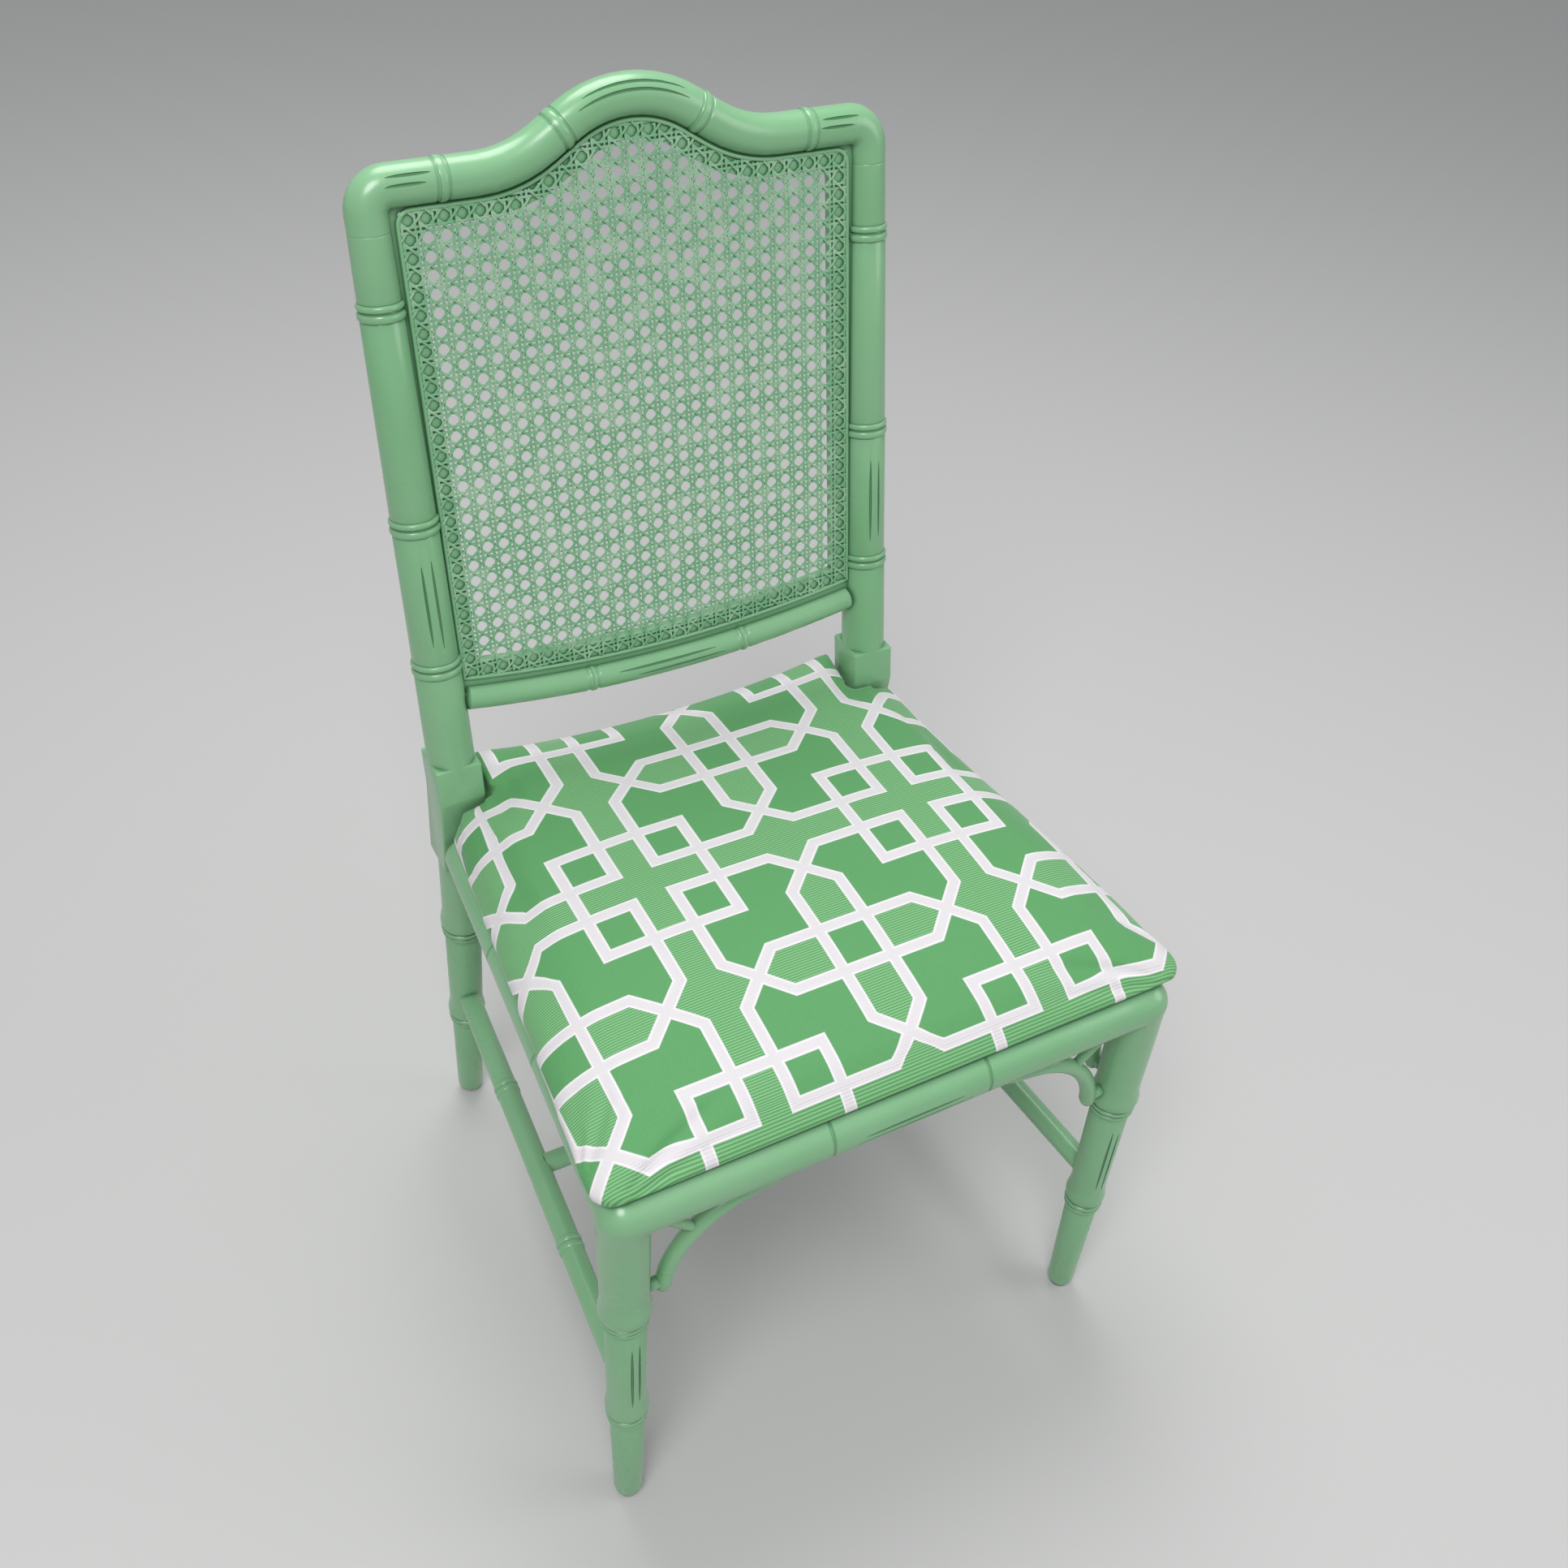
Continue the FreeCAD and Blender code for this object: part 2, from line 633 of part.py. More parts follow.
def cane_holes():
    """Square openings of the net that lie wholly inside the land."""
    fence = Part.Face(wire_of(spline_loop(d.land_width)))
    pitch = plain(d.cane_pitch)
    side = plain(d.cane_hole) / 2
    columns = int(plain(d.cane_half) / pitch)
    rows = int(plain(apex) / pitch)
    holes = []
    for column in range(-columns, columns + 1):
        for level in range(rows + 1):
            x = column * pitch
            z = plain(d.low_middle) + level * pitch
            corners = [(x - side, z - side), (x + side, z - side), (x + side, z + side), (x - side, z + side)]
            spots = [FreeCAD.Vector(cx, 0, cz) for cx, cz in corners]
            if all(fence.isInside(spot, 0.01, True) for spot in spots):
                holes.append(Part.makePolygon(spots + spots[:1]))
    return holes


net_wires = [wire_of(spline_loop(d.spline_half))] + cane_holes()
net_face = Part.makeFace(net_wires, "Part::FaceMakerBullseye")
net = doc.addObject("Part::Feature", "cane_net")
net.Shape = net_face.extrude(FreeCAD.Vector(0, plain(d.cane_thick), 0))
net_y, net_z = back_point(d.land_forward + d.cane_thick, 0)
place(net, 0, net_y, net_z, BACKWARD, d.rake_angle)
node("cane_panel", net)

# Seat rails
front_span = d.front_half - d.stub_length
front_rail_points = [(d.rail_radius, -front_span)]
front_rail_points += notch(-d.front_node, d.rail_radius) + notch(d.front_node, d.rail_radius)
front_rail_points += [(d.rail_radius, front_span)]
front_round = place(turned("front_round", "X", front_rail_points), 0, front_y, rail_height)
behind_front = box("behind_front", ROOM, ROOM, ROOM, -ROOM / 2, front_y + d.rail_inner, -ROOM / 2)
tenon_low = rail_height - d.tenon_high / 2
tenon_long = d.tenon_leg + d.tenon_rail
front_tenon = box(
    "front_tenon", tenon_long, d.tenon_thick, d.tenon_high,
    d.stub_length - d.tenon_leg - d.front_half, front_y - d.tenon_thick / 2, tenon_low)
front_bare = cut("front_bare", front_round, [above_seat, behind_front])
node("front_rail", cut("front_rail_piece", front_bare, [pair("front_tenons", front_tenon)]))


def rail_tenon(name, start):
    """Loose tenon along the left side rail from a station behind the front leg."""
    x = left_front - d.tenon_thick / 2 * cosine(rail_skew) + start * sine(rail_skew)
    y = front_y + d.tenon_thick / 2 * sine(rail_skew) + start * cosine(rail_skew)
    return box(name, d.tenon_thick, tenon_long, d.tenon_high, x, y, tenon_low, DOWNWARD, rail_skew)


side_rail_points = [(d.side_rail_radius, d.stub_length)]
side_rail_points += notch(d.side_node_front, d.side_rail_radius)
side_rail_points += notch(d.side_node_rear, d.side_rail_radius)
side_rail_points += [(d.side_rail_radius, rail_span)]
side_round = along_rail(turned("side_round", "Y", side_rail_points), rail_height)
flat_x = left_front + d.rail_inner * cosine(rail_skew)
flat_y = front_y - d.rail_inner * sine(rail_skew)
inside_left = box("inside_left", ROOM, ROOM, ROOM, flat_x, flat_y, 0, DOWNWARD, rail_skew)
side_front_tenon = rail_tenon("side_front_tenon", d.stub_length - d.tenon_leg)
side_rear_tenon = rail_tenon("side_rear_tenon", rail_span - d.block_half - d.tenon_rail)
side_bare = cut("side_bare", side_round, [above_seat, inside_left, rear_blank])
side_rail = cut("side_rail_piece", side_bare, [side_front_tenon, side_rear_tenon])
node("side_rail_left", side_rail)
node("side_rail_right", mirrored("side_rail_twin", side_rail))
rear_inner = d.rear_half - d.block_half
rear_middle = kink_y + (kink_height - rail_height) * sine(d.splay_angle) / cosine(d.splay_angle)
rear_face = rear_middle - d.rear_rail_thick / 2
rear_board = box(
    "rear_board", 2 * rear_inner, d.rear_rail_thick, d.rear_rail_depth,
    -rear_inner, rear_face, d.seat_plane - d.rear_rail_depth)
rear_tenon = box(
    "rear_tenon", tenon_long, d.tenon_thick, d.tenon_high,
    -rear_inner - d.tenon_leg, rear_middle - d.tenon_thick / 2, tenon_low)
node("rear_rail", cut("rear_rail_piece", rear_board, [pair("rear_tenons", rear_tenon)]))
left_tenons = [front_tenon, side_front_tenon, side_rear_tenon, rear_tenon]
node("rail_tenons", pair("all_rail_tenons", group("left_rail_tenons", left_tenons)))

# Crest and lower back rail with the loose tenons that hold them
crest_y, crest_z = back_point(d.crest_tenon_deep / 2, post_joint - d.crest_tenon)
crest_tenon = box(
    "crest_tenon", d.tenon_thick, d.crest_tenon_deep, 2 * d.crest_tenon,
    left_rear - d.tenon_thick / 2, crest_y, crest_z, BACKWARD, d.rake_angle)
crest_tenons = node("crest_tenons", pair("crest_tenon_pair", crest_tenon))
node("crest_rail", cut("crest_rail_piece", crest_whole, [crest_tenons]))
peg_y, peg_z = back_point(d.low_forward + d.low_tenon_thick / 2, low_rise - d.low_tenon_high / 2)
low_tenon = box(
    "low_tenon", 2 * d.low_tenon_in, d.low_tenon_thick, d.low_tenon_high,
    -d.low_end - d.low_tenon_in, peg_y, peg_z, BACKWARD, d.rake_angle)
low_tenons = node("lower_rail_tenons", pair("low_tenon_pair", low_tenon))
node("lower_back_rail", cut("lower_rail_piece", low_blank, [low_tenons]))

# Stretchers: coped to the legs and tenoned into them
stretch_y = (kink_height - d.stretcher_height) * sine(d.splay_angle) / cosine(d.splay_angle) + d.seat_depth
stretch_skew = slope_of((d.front_half - d.rear_half) / stretch_y)
stretch_span = stretch_y / cosine(stretch_skew)


def along_stretcher(thing):
    """Place a piece drawn along the left side stretcher."""
    return place(thing, left_front, front_y, d.stretcher_height, DOWNWARD, stretch_skew)


stretcher_points = [(d.stretcher_radius, 0)]
stretcher_points += notch(d.stretcher_node_front, d.stretcher_radius)
stretcher_points += notch(d.stretcher_node_rear, d.stretcher_radius)
stretcher_points += [(d.stretcher_radius, stretch_span)]
stretcher_round = along_stretcher(turned("stretcher_round", "Y", stretcher_points))
core_x = left_front - d.stretcher_tenon / 2 * cosine(stretch_skew) + d.tenon_clear * sine(stretch_skew)
core_y = front_y + d.stretcher_tenon / 2 * sine(stretch_skew) + d.tenon_clear * cosine(stretch_skew)
stretcher_core = box(
    "stretcher_core", d.stretcher_tenon, stretch_span - 2 * d.tenon_clear, d.stretcher_tenon,
    core_x, core_y, d.stretcher_height - d.stretcher_tenon / 2, DOWNWARD, stretch_skew)
stretcher_coped = cut("stretcher_coped", stretcher_round, [front_blank, rear_blank])
stretcher_blank = joined("stretcher_blank", [stretcher_coped, stretcher_core])
cross_half = d.front_half - d.cross_setback * sine(stretch_skew) / cosine(stretch_skew)
cross_y = front_y + d.cross_setback
cross_round = turned("cross_round", "X", [(d.cross_radius, -cross_half), (d.cross_radius, cross_half)])
place(cross_round, 0, cross_y, d.stretcher_height)
cross_core = box(
    "cross_core", 2 * (cross_half - d.tenon_clear), d.cross_tenon, d.cross_tenon,
    d.tenon_clear - cross_half, cross_y - d.cross_tenon / 2, d.stretcher_height - d.cross_tenon / 2)
cross_coped = cut("cross_coped", cross_round, [pair("stretcher_pair", stretcher_blank)])
node("cross_stretcher", joined("cross_piece", [cross_coped, cross_core]))
side_stretcher = cut("side_stretcher_piece", stretcher_blank, [cross_core])
node("side_stretcher_left", side_stretcher)
node("side_stretcher_right", mirrored("side_stretcher_twin", side_stretcher))

# Brackets under the rails at the front legs
brace_top = rail_height - d.rail_radius - d.brace_radius + d.brace_bed
brace_stations = [(d.brace_radius, d.brace_tail, brace_top, -90)]
for step in range(BRACE_STEPS + 1):
    turn = d.brace_sweep * (step / BRACE_STEPS)
    brace_x = d.brace_centre - d.brace_bend * sine(turn)
    brace_z = brace_top - d.brace_bend * (1 - cosine(turn))
    brace_stations.append((d.brace_radius, brace_x, brace_z, -90 - turn))
strut_fall = slope_of((d.strut_bottom - d.strut_top) / (d.strut_far - d.strut_near))
strut_length = (d.strut_far - d.strut_near) / cosine(strut_fall)
strut_points = [(d.strut_radius, 0), (d.strut_radius, strut_length)]
strut_start = (d.strut_near, rail_height - d.strut_top)
struts = []
side_turn = 90 - rail_skew
pearl_start = d.front_thigh - d.pearl_radius
pearl_length = d.brace_centre - d.brace_bend * sine(d.brace_sweep) - pearl_start
pearl_outline = facets((0, rail_height - d.pearl_drop), d.pearl_radius, SLIM_SIDES)
for name, rail, turn in (("front", front_bare, 0), ("side", side_bare, side_turn)):
    bar = curved(name + "_brace", brace_stations, SLIM_SIDES)
    pearl = padded(name + "_pearl", "YZ_Plane", [pearl_outline], pearl_start, pearl_length)
    for thing in (bar, pearl):
        place(thing, left_front, front_y, 0, (0, 0, 1), turn)
    brace = cut(name + "_brace_piece", joined(name + "_brace_whole", [bar, pearl]), [front_blank, rail])
    node(name + "_bracket_left", brace)
    node(name + "_bracket_right", mirrored(name + "_brace_twin", brace))
    stick = turned_aslant(name + "_strut", strut_start, 90 + strut_fall, strut_points, SLIM_SIDES)
    place(stick, left_front, front_y, 0, (0, 0, 1), turn)
    struts.append(cut(name + "_strut_piece", stick, [front_blank, rail, brace]))
node("bracket_struts", pair("all_struts", group("left_struts", struts)))

# Glides under the feet and the finished legs
rear_foot_y = kink_y + foot_length * sine(d.splay_angle)
glide_points = [(d.glide_radius, 0), (d.glide_radius, d.glide_thick)]
front_glide = place(turned("front_glide", "Z", glide_points), left_front, front_y)
rear_glide = place(turned("rear_glide", "Z", glide_points), left_rear, rear_foot_y)
node("foot_glides", pair("all_glides", group("left_glides", [front_glide, rear_glide])))
front_leg = cut("front_leg_piece", front_blank, [front_tenon, side_front_tenon, stretcher_core])
node("front_leg_left", front_leg)
node("front_leg_right", mirrored("front_leg_twin", front_leg))
rear_leg = cut("rear_leg_piece", rear_blank, [
    side_rear_tenon, rear_tenon, stretcher_core, crest_tenon, low_tenon])
node("rear_leg_left", rear_leg)
node("rear_leg_right", mirrored("rear_leg_twin", rear_leg))

# Corner blocks under the seat
skew_sin = sine(rail_skew)
skew_cos = cosine(rail_skew)


def on_flat(station):
    """Point of the left side rail's inner flat at a station along the rail."""
    return flat_x + station * skew_sin, flat_y + station * skew_cos


front_meet = d.rail_inner * (1 + skew_sin) / skew_cos
front_corner = on_flat(front_meet)
front_triangle = [
    front_corner, (front_corner[0] + d.block_leg, front_corner[1]), on_flat(front_meet + d.block_leg),
]
rear_meet = (rear_face - flat_y) / skew_cos
rear_corner = on_flat(rear_meet)
rear_triangle = [
    rear_corner, on_flat(rear_meet - d.block_leg), (rear_corner[0] + d.block_leg, rear_corner[1]),
]
block_low = d.seat_plane - d.block_height
for name, triangle, leg in (
        ("front", front_triangle, front_blank), ("rear", rear_triangle, rear_blank)):
    prism = padded(name + "_prism", "XY_Plane", [triangle], block_low, d.block_height)
    block = cut(name + "_block_piece", prism, [leg])
    node(name + "_corner_block_left", block)
    node(name + "_corner_block_right", mirrored(name + "_block_twin", block))

# Seat: board, foam crown and the cloth cover folded under the board
notch_y = kink_y - d.block_half - d.notch_gap
notch_x = d.rear_half - d.block_half - d.notch_gap
lean_in = (d.seat_front_half - d.seat_rear_half) / (notch_y - front_y + d.seat_front)


def seat_outline(inset, notch_inset):
    """Outline of the seat in plan, notched round the rear legs, anticlockwise."""
    front = front_y - d.seat_front + inset
    wide = d.seat_front_half - inset
    side_y = notch_y - notch_inset
    rear = front_y + d.seat_rear - inset
    inner = notch_x - notch_inset
    narrow = wide - lean_in * (side_y - front)
    big = d.seat_corner
    small = d.rear_corner
    half = [(wide - big, front)]
    for turn in FRONT_CORNER_TURNS:
        half.append((wide - big + big * sine(turn), front + big - big * cosine(turn)))
    half.append((wide - lean_in * big, front + big))
    half.append((narrow + lean_in * small, side_y - small))
    cut_x = narrow - small + small * cosine(REAR_CORNER_TURN)
    half.append((cut_x, side_y - small + small * sine(REAR_CORNER_TURN)))
    half += [(narrow - small, side_y), (inner, side_y), (inner, rear)]
    return half + [(-x, y) for x, y in reversed(half)]


def crown(name, shrink):
    """Loft through the seat's levels, drawn in by the cover's thickness for the foam."""
    levels = [(shrink, shrink, shrink)]
    for swell, rise in ((d.bulge_out, d.bulge_rise), (d.roll_out, d.roll_rise)):
        levels.append((shrink - swell, shrink, rise))
    for inset, rise in ((d.edge_in, d.edge_rise), (d.dome_in, d.dome_rise), (d.crown_in, d.crown_rise)):
        levels.append((shrink + inset, shrink + inset, rise - shrink))
    sections = []
    for step, (inset, notch_inset, rise) in enumerate(levels):
        sketch = doc.addObject("Sketcher::SketchObject", "%s_level_%d" % (name, step))
        draw(sketch, seat_outline(inset, notch_inset))
        sections.append(place(sketch, 0, 0, d.seat_plane + rise))
    return lofted(name, sections)


cover_outside = crown("cover_outside", 0)
cover_inside = crown("cover_inside", d.cover_thick)
board_low = d.seat_plane + d.cover_thick
board = padded("board", "XY_Plane", [seat_outline(d.board_gap, d.board_gap)], board_low, d.board_thick)
opening = padded("opening", "XY_Plane", [seat_outline(d.fold_width, d.fold_width)], d.seat_plane, d.cover_thick)
node("seat_board", board)
node("seat_foam", cut("seat_foam_piece", cover_inside, [board]))
node("seat_cover", cut("seat_cover_piece", cover_outside, [cover_inside, opening]))
node("dust_cover", opening)

doc.recompute()

# Every object and every node must be sound before anything is written
for thing in doc.Objects:
    if "Invalid" in thing.State or "Error" in thing.State:
        raise RuntimeError("%s did not build: %s" % (thing.Name, thing.State))
for name, thing in parts.items():
    shape = thing.Shape
    if shape.isNull() or not shape.isValid() or not shape.Solids:
        raise RuntimeError("%s has no sound solid" % name)

os.makedirs("parts", exist_ok=True)
for name, thing in parts.items():
    thing.Shape.exportStep("parts/%s.step" % name)
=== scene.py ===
"""Faux bamboo dining chair dressed over its frame: painted turnings, cane and a lattice-cloth seat."""
import json
import math

import bmesh
import bpy
from bpy.props import FloatProperty, FloatVectorProperty, IntProperty, PointerProperty
from mathutils import Matrix, Vector


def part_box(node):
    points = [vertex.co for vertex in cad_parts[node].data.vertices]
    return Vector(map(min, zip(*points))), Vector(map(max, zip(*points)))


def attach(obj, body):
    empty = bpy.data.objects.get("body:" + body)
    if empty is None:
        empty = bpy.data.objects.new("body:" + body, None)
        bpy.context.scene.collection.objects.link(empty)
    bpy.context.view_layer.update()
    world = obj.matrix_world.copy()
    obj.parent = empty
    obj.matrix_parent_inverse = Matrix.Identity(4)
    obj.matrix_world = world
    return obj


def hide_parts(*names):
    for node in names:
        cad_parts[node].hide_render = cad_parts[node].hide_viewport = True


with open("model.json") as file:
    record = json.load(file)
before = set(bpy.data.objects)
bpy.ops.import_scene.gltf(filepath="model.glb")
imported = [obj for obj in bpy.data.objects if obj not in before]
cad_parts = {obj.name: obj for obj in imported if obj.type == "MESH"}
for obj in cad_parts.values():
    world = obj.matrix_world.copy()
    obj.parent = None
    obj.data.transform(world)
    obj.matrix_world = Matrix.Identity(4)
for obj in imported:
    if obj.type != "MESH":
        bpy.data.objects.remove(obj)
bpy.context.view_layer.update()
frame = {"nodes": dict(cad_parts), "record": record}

bl_info = {
    "name": "Faux Bamboo Dining Chair",
    "version": (1, 0, 0),
    "blender": (4, 5, 0),
    "location": "View3D > Sidebar > Chair",
    "description": "Dresses the chair's frame with painted turnings, cane and an upholstered seat",
    "category": "Object",
}

# Places read from the frame, in metres: x to the viewer's right, y to the back, z up
FEET = {mount["name"]: Vector(mount["pos_m"]) for mount in frame["record"]["mounts"]}
FRONT_X = FEET["foot_front_right"].x
FRONT_Y = FEET["foot_front_right"].y
REAR_X = FEET["foot_rear_right"].x
REAR_FOOT_Y = FEET["foot_rear_right"].y
FLOOR_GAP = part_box("front_leg_left")[0].z
SEAT_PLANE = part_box("front_leg_left")[1].z

# Lines of the frame
SEAT_DEPTH = 0.385
KINK_HEIGHT = 0.440
RAKE = math.radians(8.93)
RAIL_HEIGHT = 0.384
FRONT_RAIL_RADIUS = 0.0190
SIDE_RAIL_RADIUS = 0.0185
RAIL_STUB = 0.026
LEG_NODES = (0.1278, 0.2615)
BLOCK_HALF = 0.0185
STRETCHER_HEIGHT = 0.164
CROSS_SETBACK = 0.210
KINK_Y = FRONT_Y + SEAT_DEPTH
SIDE_RUN = Vector((FRONT_X - REAR_X, SEAT_DEPTH, 0))
SIDE_ALONG = SIDE_RUN.normalized()
UP = Vector((0, 0, 1))
RIGHT = Vector((1, 0, 0))
FORWARD = Vector((0, -1, 0))
BACK_UP = Vector((0, math.sin(RAKE), math.cos(RAKE)))
BACK_FACE = Vector((0, -math.cos(RAKE), math.sin(RAKE)))
KINK = Vector((0, KINK_Y, KINK_HEIGHT))

# Lines of the back in its own plane, from the kink up along the posts
POST_JOINT = 0.431
CREST_SHOULDER = 0.4586
CREST_RISE = 0.0382
CREST_SLOPE = 32.0
HUMP_RADIUS = 0.087
VALLEY_RADIUS = 0.094
CREST_TURN = math.radians(CREST_SLOPE)
CREST_BENDS = HUMP_RADIUS + VALLEY_RADIUS
CREST_STRAIGHT = (CREST_RISE - CREST_BENDS * (1 - math.cos(CREST_TURN))) / math.sin(CREST_TURN)
CREST_RUN = CREST_BENDS * math.sin(CREST_TURN) + CREST_STRAIGHT * math.cos(CREST_TURN)
LOW_BOW = 1.087
LOW_MIDDLE = 0.0658
CANE_HALF = 0.1695
CANE_TOP = 0.0160
CANE_LOW = 0.0165
CANE_CORNER = 0.010
LAND_FORWARD = 0.003
LAND_WIDTH = 0.0125
LAND_THICK = 0.010

SIDES = {"left": -1, "right": 1}
TURNED_STEPS = 48
CREST_STEPS = 44
ROUND_STEPS = 40
RAIL_STEPS = 32
SLIM_STEPS = 24
CREASE = math.radians(38)
TINY = 1e-6


def measure(label, note, value):
    """Size that a user may change, in metres."""
    return FloatProperty(name=label, description=note, default=value, unit="LENGTH")


def tint(label, note, value):
    """Colour that a user may change."""
    return FloatVectorProperty(name=label, description=note, subtype="COLOR", default=value)


class ChairSizes(bpy.types.PropertyGroup):
    """Sizes of the visible detail that a maker would change."""

    bead_proud: measure("Bead height", "How far a ring stands out from its turning", 0.0019)
    slit_width: measure("Slit width", "Width of the carved slits at their middle", 0.0023)
    slit_depth: measure("Slit depth", "Depth of the carved slits at their middle", 0.0016)
    cane_pitch: measure("Cane pitch", "Distance from one hole of the cane to the next", 0.0125)
    cane_width: measure("Cane strand", "Width of one strand of cane", 0.0018)
    cane_thick: measure("Cane thickness", "Thickness of one strand of cane", 0.0010)
    voxel: measure("Cloth cell", "Cell size of the cushion before it is blown up", 0.0046)
    swell: measure("Swell limit", "Most that the cushion's cloth may move", 0.0028)
    frames: IntProperty(
        name="Cloth steps", description="Steps of the cushion's cloth simulation", default=20, min=1)
    repeat: measure("Pattern repeat", "Distance from one lattice motif to the next", 0.231)
    band: measure("Band width", "Width of the pale bands of the lattice", 0.0098)


class ChairFinish(bpy.types.PropertyGroup):
    """Colours of the chair, as linear values."""

    paint: tint("Paint", "Green paint of the frame", (0.182, 0.402, 0.203))
    # Painted shade: this colour darkens the paint and the cane where ambient occlusion finds grooves,
    # slits, joints and crossings.
    painted_crease_shade: tint(
        "Painted shade in grooves", "Painted shade that darkens grooves and joints", (0.040, 0.140, 0.062))
    cane: tint("Cane", "Painted cane", (0.175, 0.390, 0.215))
    cane_pale: tint("Worn cane", "Cane where the paint is thin", (0.360, 0.540, 0.370))
    ground: tint("Cloth ground", "Green ground of the seat cloth", (0.070, 0.270, 0.085))
    rib: tint("Cloth ribs", "Paler threads of the ribbed fields", (0.205, 0.430, 0.200))
    band: tint("Cloth bands", "Pale bands of the lattice", (0.70, 0.67, 0.69))


# Meshes made with bmesh operators


def axes(x_axis, y_axis, z_axis, origin):
    """Frame whose columns are the given axes and origin."""
    turn = Matrix((x_axis, y_axis, z_axis)).transposed().to_4x4()
    return Matrix.Translation(origin) @ turn


def close_up(bm):
    """Weld, cap and turn outwards a freshly made closed shape."""
    bmesh.ops.remove_doubles(bm, verts=bm.verts, dist=TINY)
    bmesh.ops.holes_fill(bm, edges=bm.edges, sides=0)
    bmesh.ops.recalc_face_normals(bm, faces=bm.faces)
    return bm


def of_kind(geom, kind):
    return [item for item in geom if isinstance(item, kind)]


def grown(bm, rim):
    """Extrude a rim of edges; the new vertices and the new rim."""
    made = bmesh.ops.extrude_edge_only(bm, edges=rim)["geom"]
    fresh = of_kind(made, bmesh.types.BMVert)
    new = set(fresh)
    return fresh, [edge for edge in of_kind(made, bmesh.types.BMEdge) if new.issuperset(edge.verts)]


def spun(outline, place, steps=ROUND_STEPS):
    """Turning about the frame's z axis from (station, radius) points."""
    bm = bmesh.new()
    verts = [bm.verts.new((radius, 0, station)) for station, radius in outline]
    edges = [bm.edges.new(ends) for ends in zip(verts, verts[1:])]
    bmesh.ops.spin(
        bm, geom=verts + edges, cent=(0, 0, 0), axis=(0, 0, 1), dvec=(0, 0, 0),
        angle=math.tau, steps=steps, use_merge=True, use_duplicate=False)
    close_up(bm)
    bmesh.ops.transform(bm, matrix=place, verts=bm.verts)
    return bm


def sleeve(frames, steps, cyclic=False):
    """Tube through unit circles placed by the frames, capped or joined end to end."""
    bm = bmesh.new()
    bmesh.ops.create_circle(bm, segments=steps, radius=1.0, cap_ends=False)
    bmesh.ops.transform(bm, matrix=frames[0], verts=bm.verts)
    first = rim = bm.edges[:]
    for before, after in zip(frames, frames[1:]):
        fresh, rim = grown(bm, rim)
        bmesh.ops.transform(bm, matrix=after @ before.inverted(), verts=fresh)
    if cyclic:
        bmesh.ops.bridge_loops(bm, edges=first + rim)
    return close_up(bm)


def merged(*shapes):
    """One bmesh that holds several, which are freed."""
    whole = bmesh.new()
    for shape in shapes:
        mesh = bpy.data.meshes.new("loose")
        shape.to_mesh(mesh)
        shape.free()
        whole.from_mesh(mesh)
        bpy.data.meshes.remove(mesh)
    return whole


def mirrored(bm):
    """Twin of a shape across the middle of the chair."""
    twin = bm.copy()
    bmesh.ops.scale(twin, vec=(-1, 1, 1), verts=twin.verts)
    bmesh.ops.reverse_faces(twin, faces=twin.faces)
    return twin


def loose_object(bm, name):
    """Object at the origin from a bmesh, which is freed."""
    mesh = bpy.data.meshes.new(name)
    bm.to_mesh(mesh)
    bm.free()
    thing = bpy.data.objects.new(name, mesh)
    bpy.context.scene.collection.objects.link(thing)
    return thing


def baked(thing):
    """Bmesh of an object with its modifiers applied; the object is removed."""
    bpy.context.view_layer.update()
    graph = bpy.context.evaluated_depsgraph_get()
    mesh = bpy.data.meshes.new_from_object(thing.evaluated_get(graph))
    bm = bmesh.new()
    bm.from_mesh(mesh)
    bpy.data.meshes.remove(mesh)
    discard(thing)
    return bm


def discard(thing):
    """Remove an object with its mesh."""
    mesh = thing.data
    bpy.data.objects.remove(thing)
    bpy.data.meshes.remove(mesh)


def boolean(base, tool, operation):
    """Exact boolean of two shapes, both used up."""
    body = loose_object(base, "boolean_body")
    cutter = loose_object(tool, "boolean_tool")
    change = body.modifiers.new("boolean", "BOOLEAN")
    change.operation = operation
    change.solver = "EXACT"
    change.use_self = operation == "DIFFERENCE"
    change.object = cutter
    result = baked(body)
    discard(cutter)
    if not result.faces:
        raise RuntimeError("a boolean left nothing")
    return result


def sliced(bm, point, normal):
    """Shape with what lies beyond a plane cut away and the cut closed."""
    geom = bm.verts[:] + bm.edges[:] + bm.faces[:]
    bmesh.ops.bisect_plane(bm, geom=geom, dist=TINY, plane_co=point, plane_no=normal, clear_outer=True)
    return close_up(bm)


def piece(name, bm, material, slot, *nodes):
    """Finished piece that rides on the chair and stands for its frame nodes."""
    thing = loose_object(bm, name)
    thing.data.shade_smooth()
    thing.data.set_sharp_from_angle(angle=CREASE)
    thing.data.materials.append(material)
    if nodes:
        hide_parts(*nodes)
    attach(thing, "root")
    return thing


def painted(name, bm, *nodes):
    """Piece of the painted wooden frame."""
    return piece(name, bm, material("paint"), "painted_wood", *nodes)


def painted_pair(stem, ending, bm):
    """Right and left painted pieces from the left one's shape."""
    for side, half in (("right", mirrored(bm)), ("left", bm)):
        painted(stem + side + ending, half, stem + side)


# Bars: straight or bent rounds with rings and carved slits


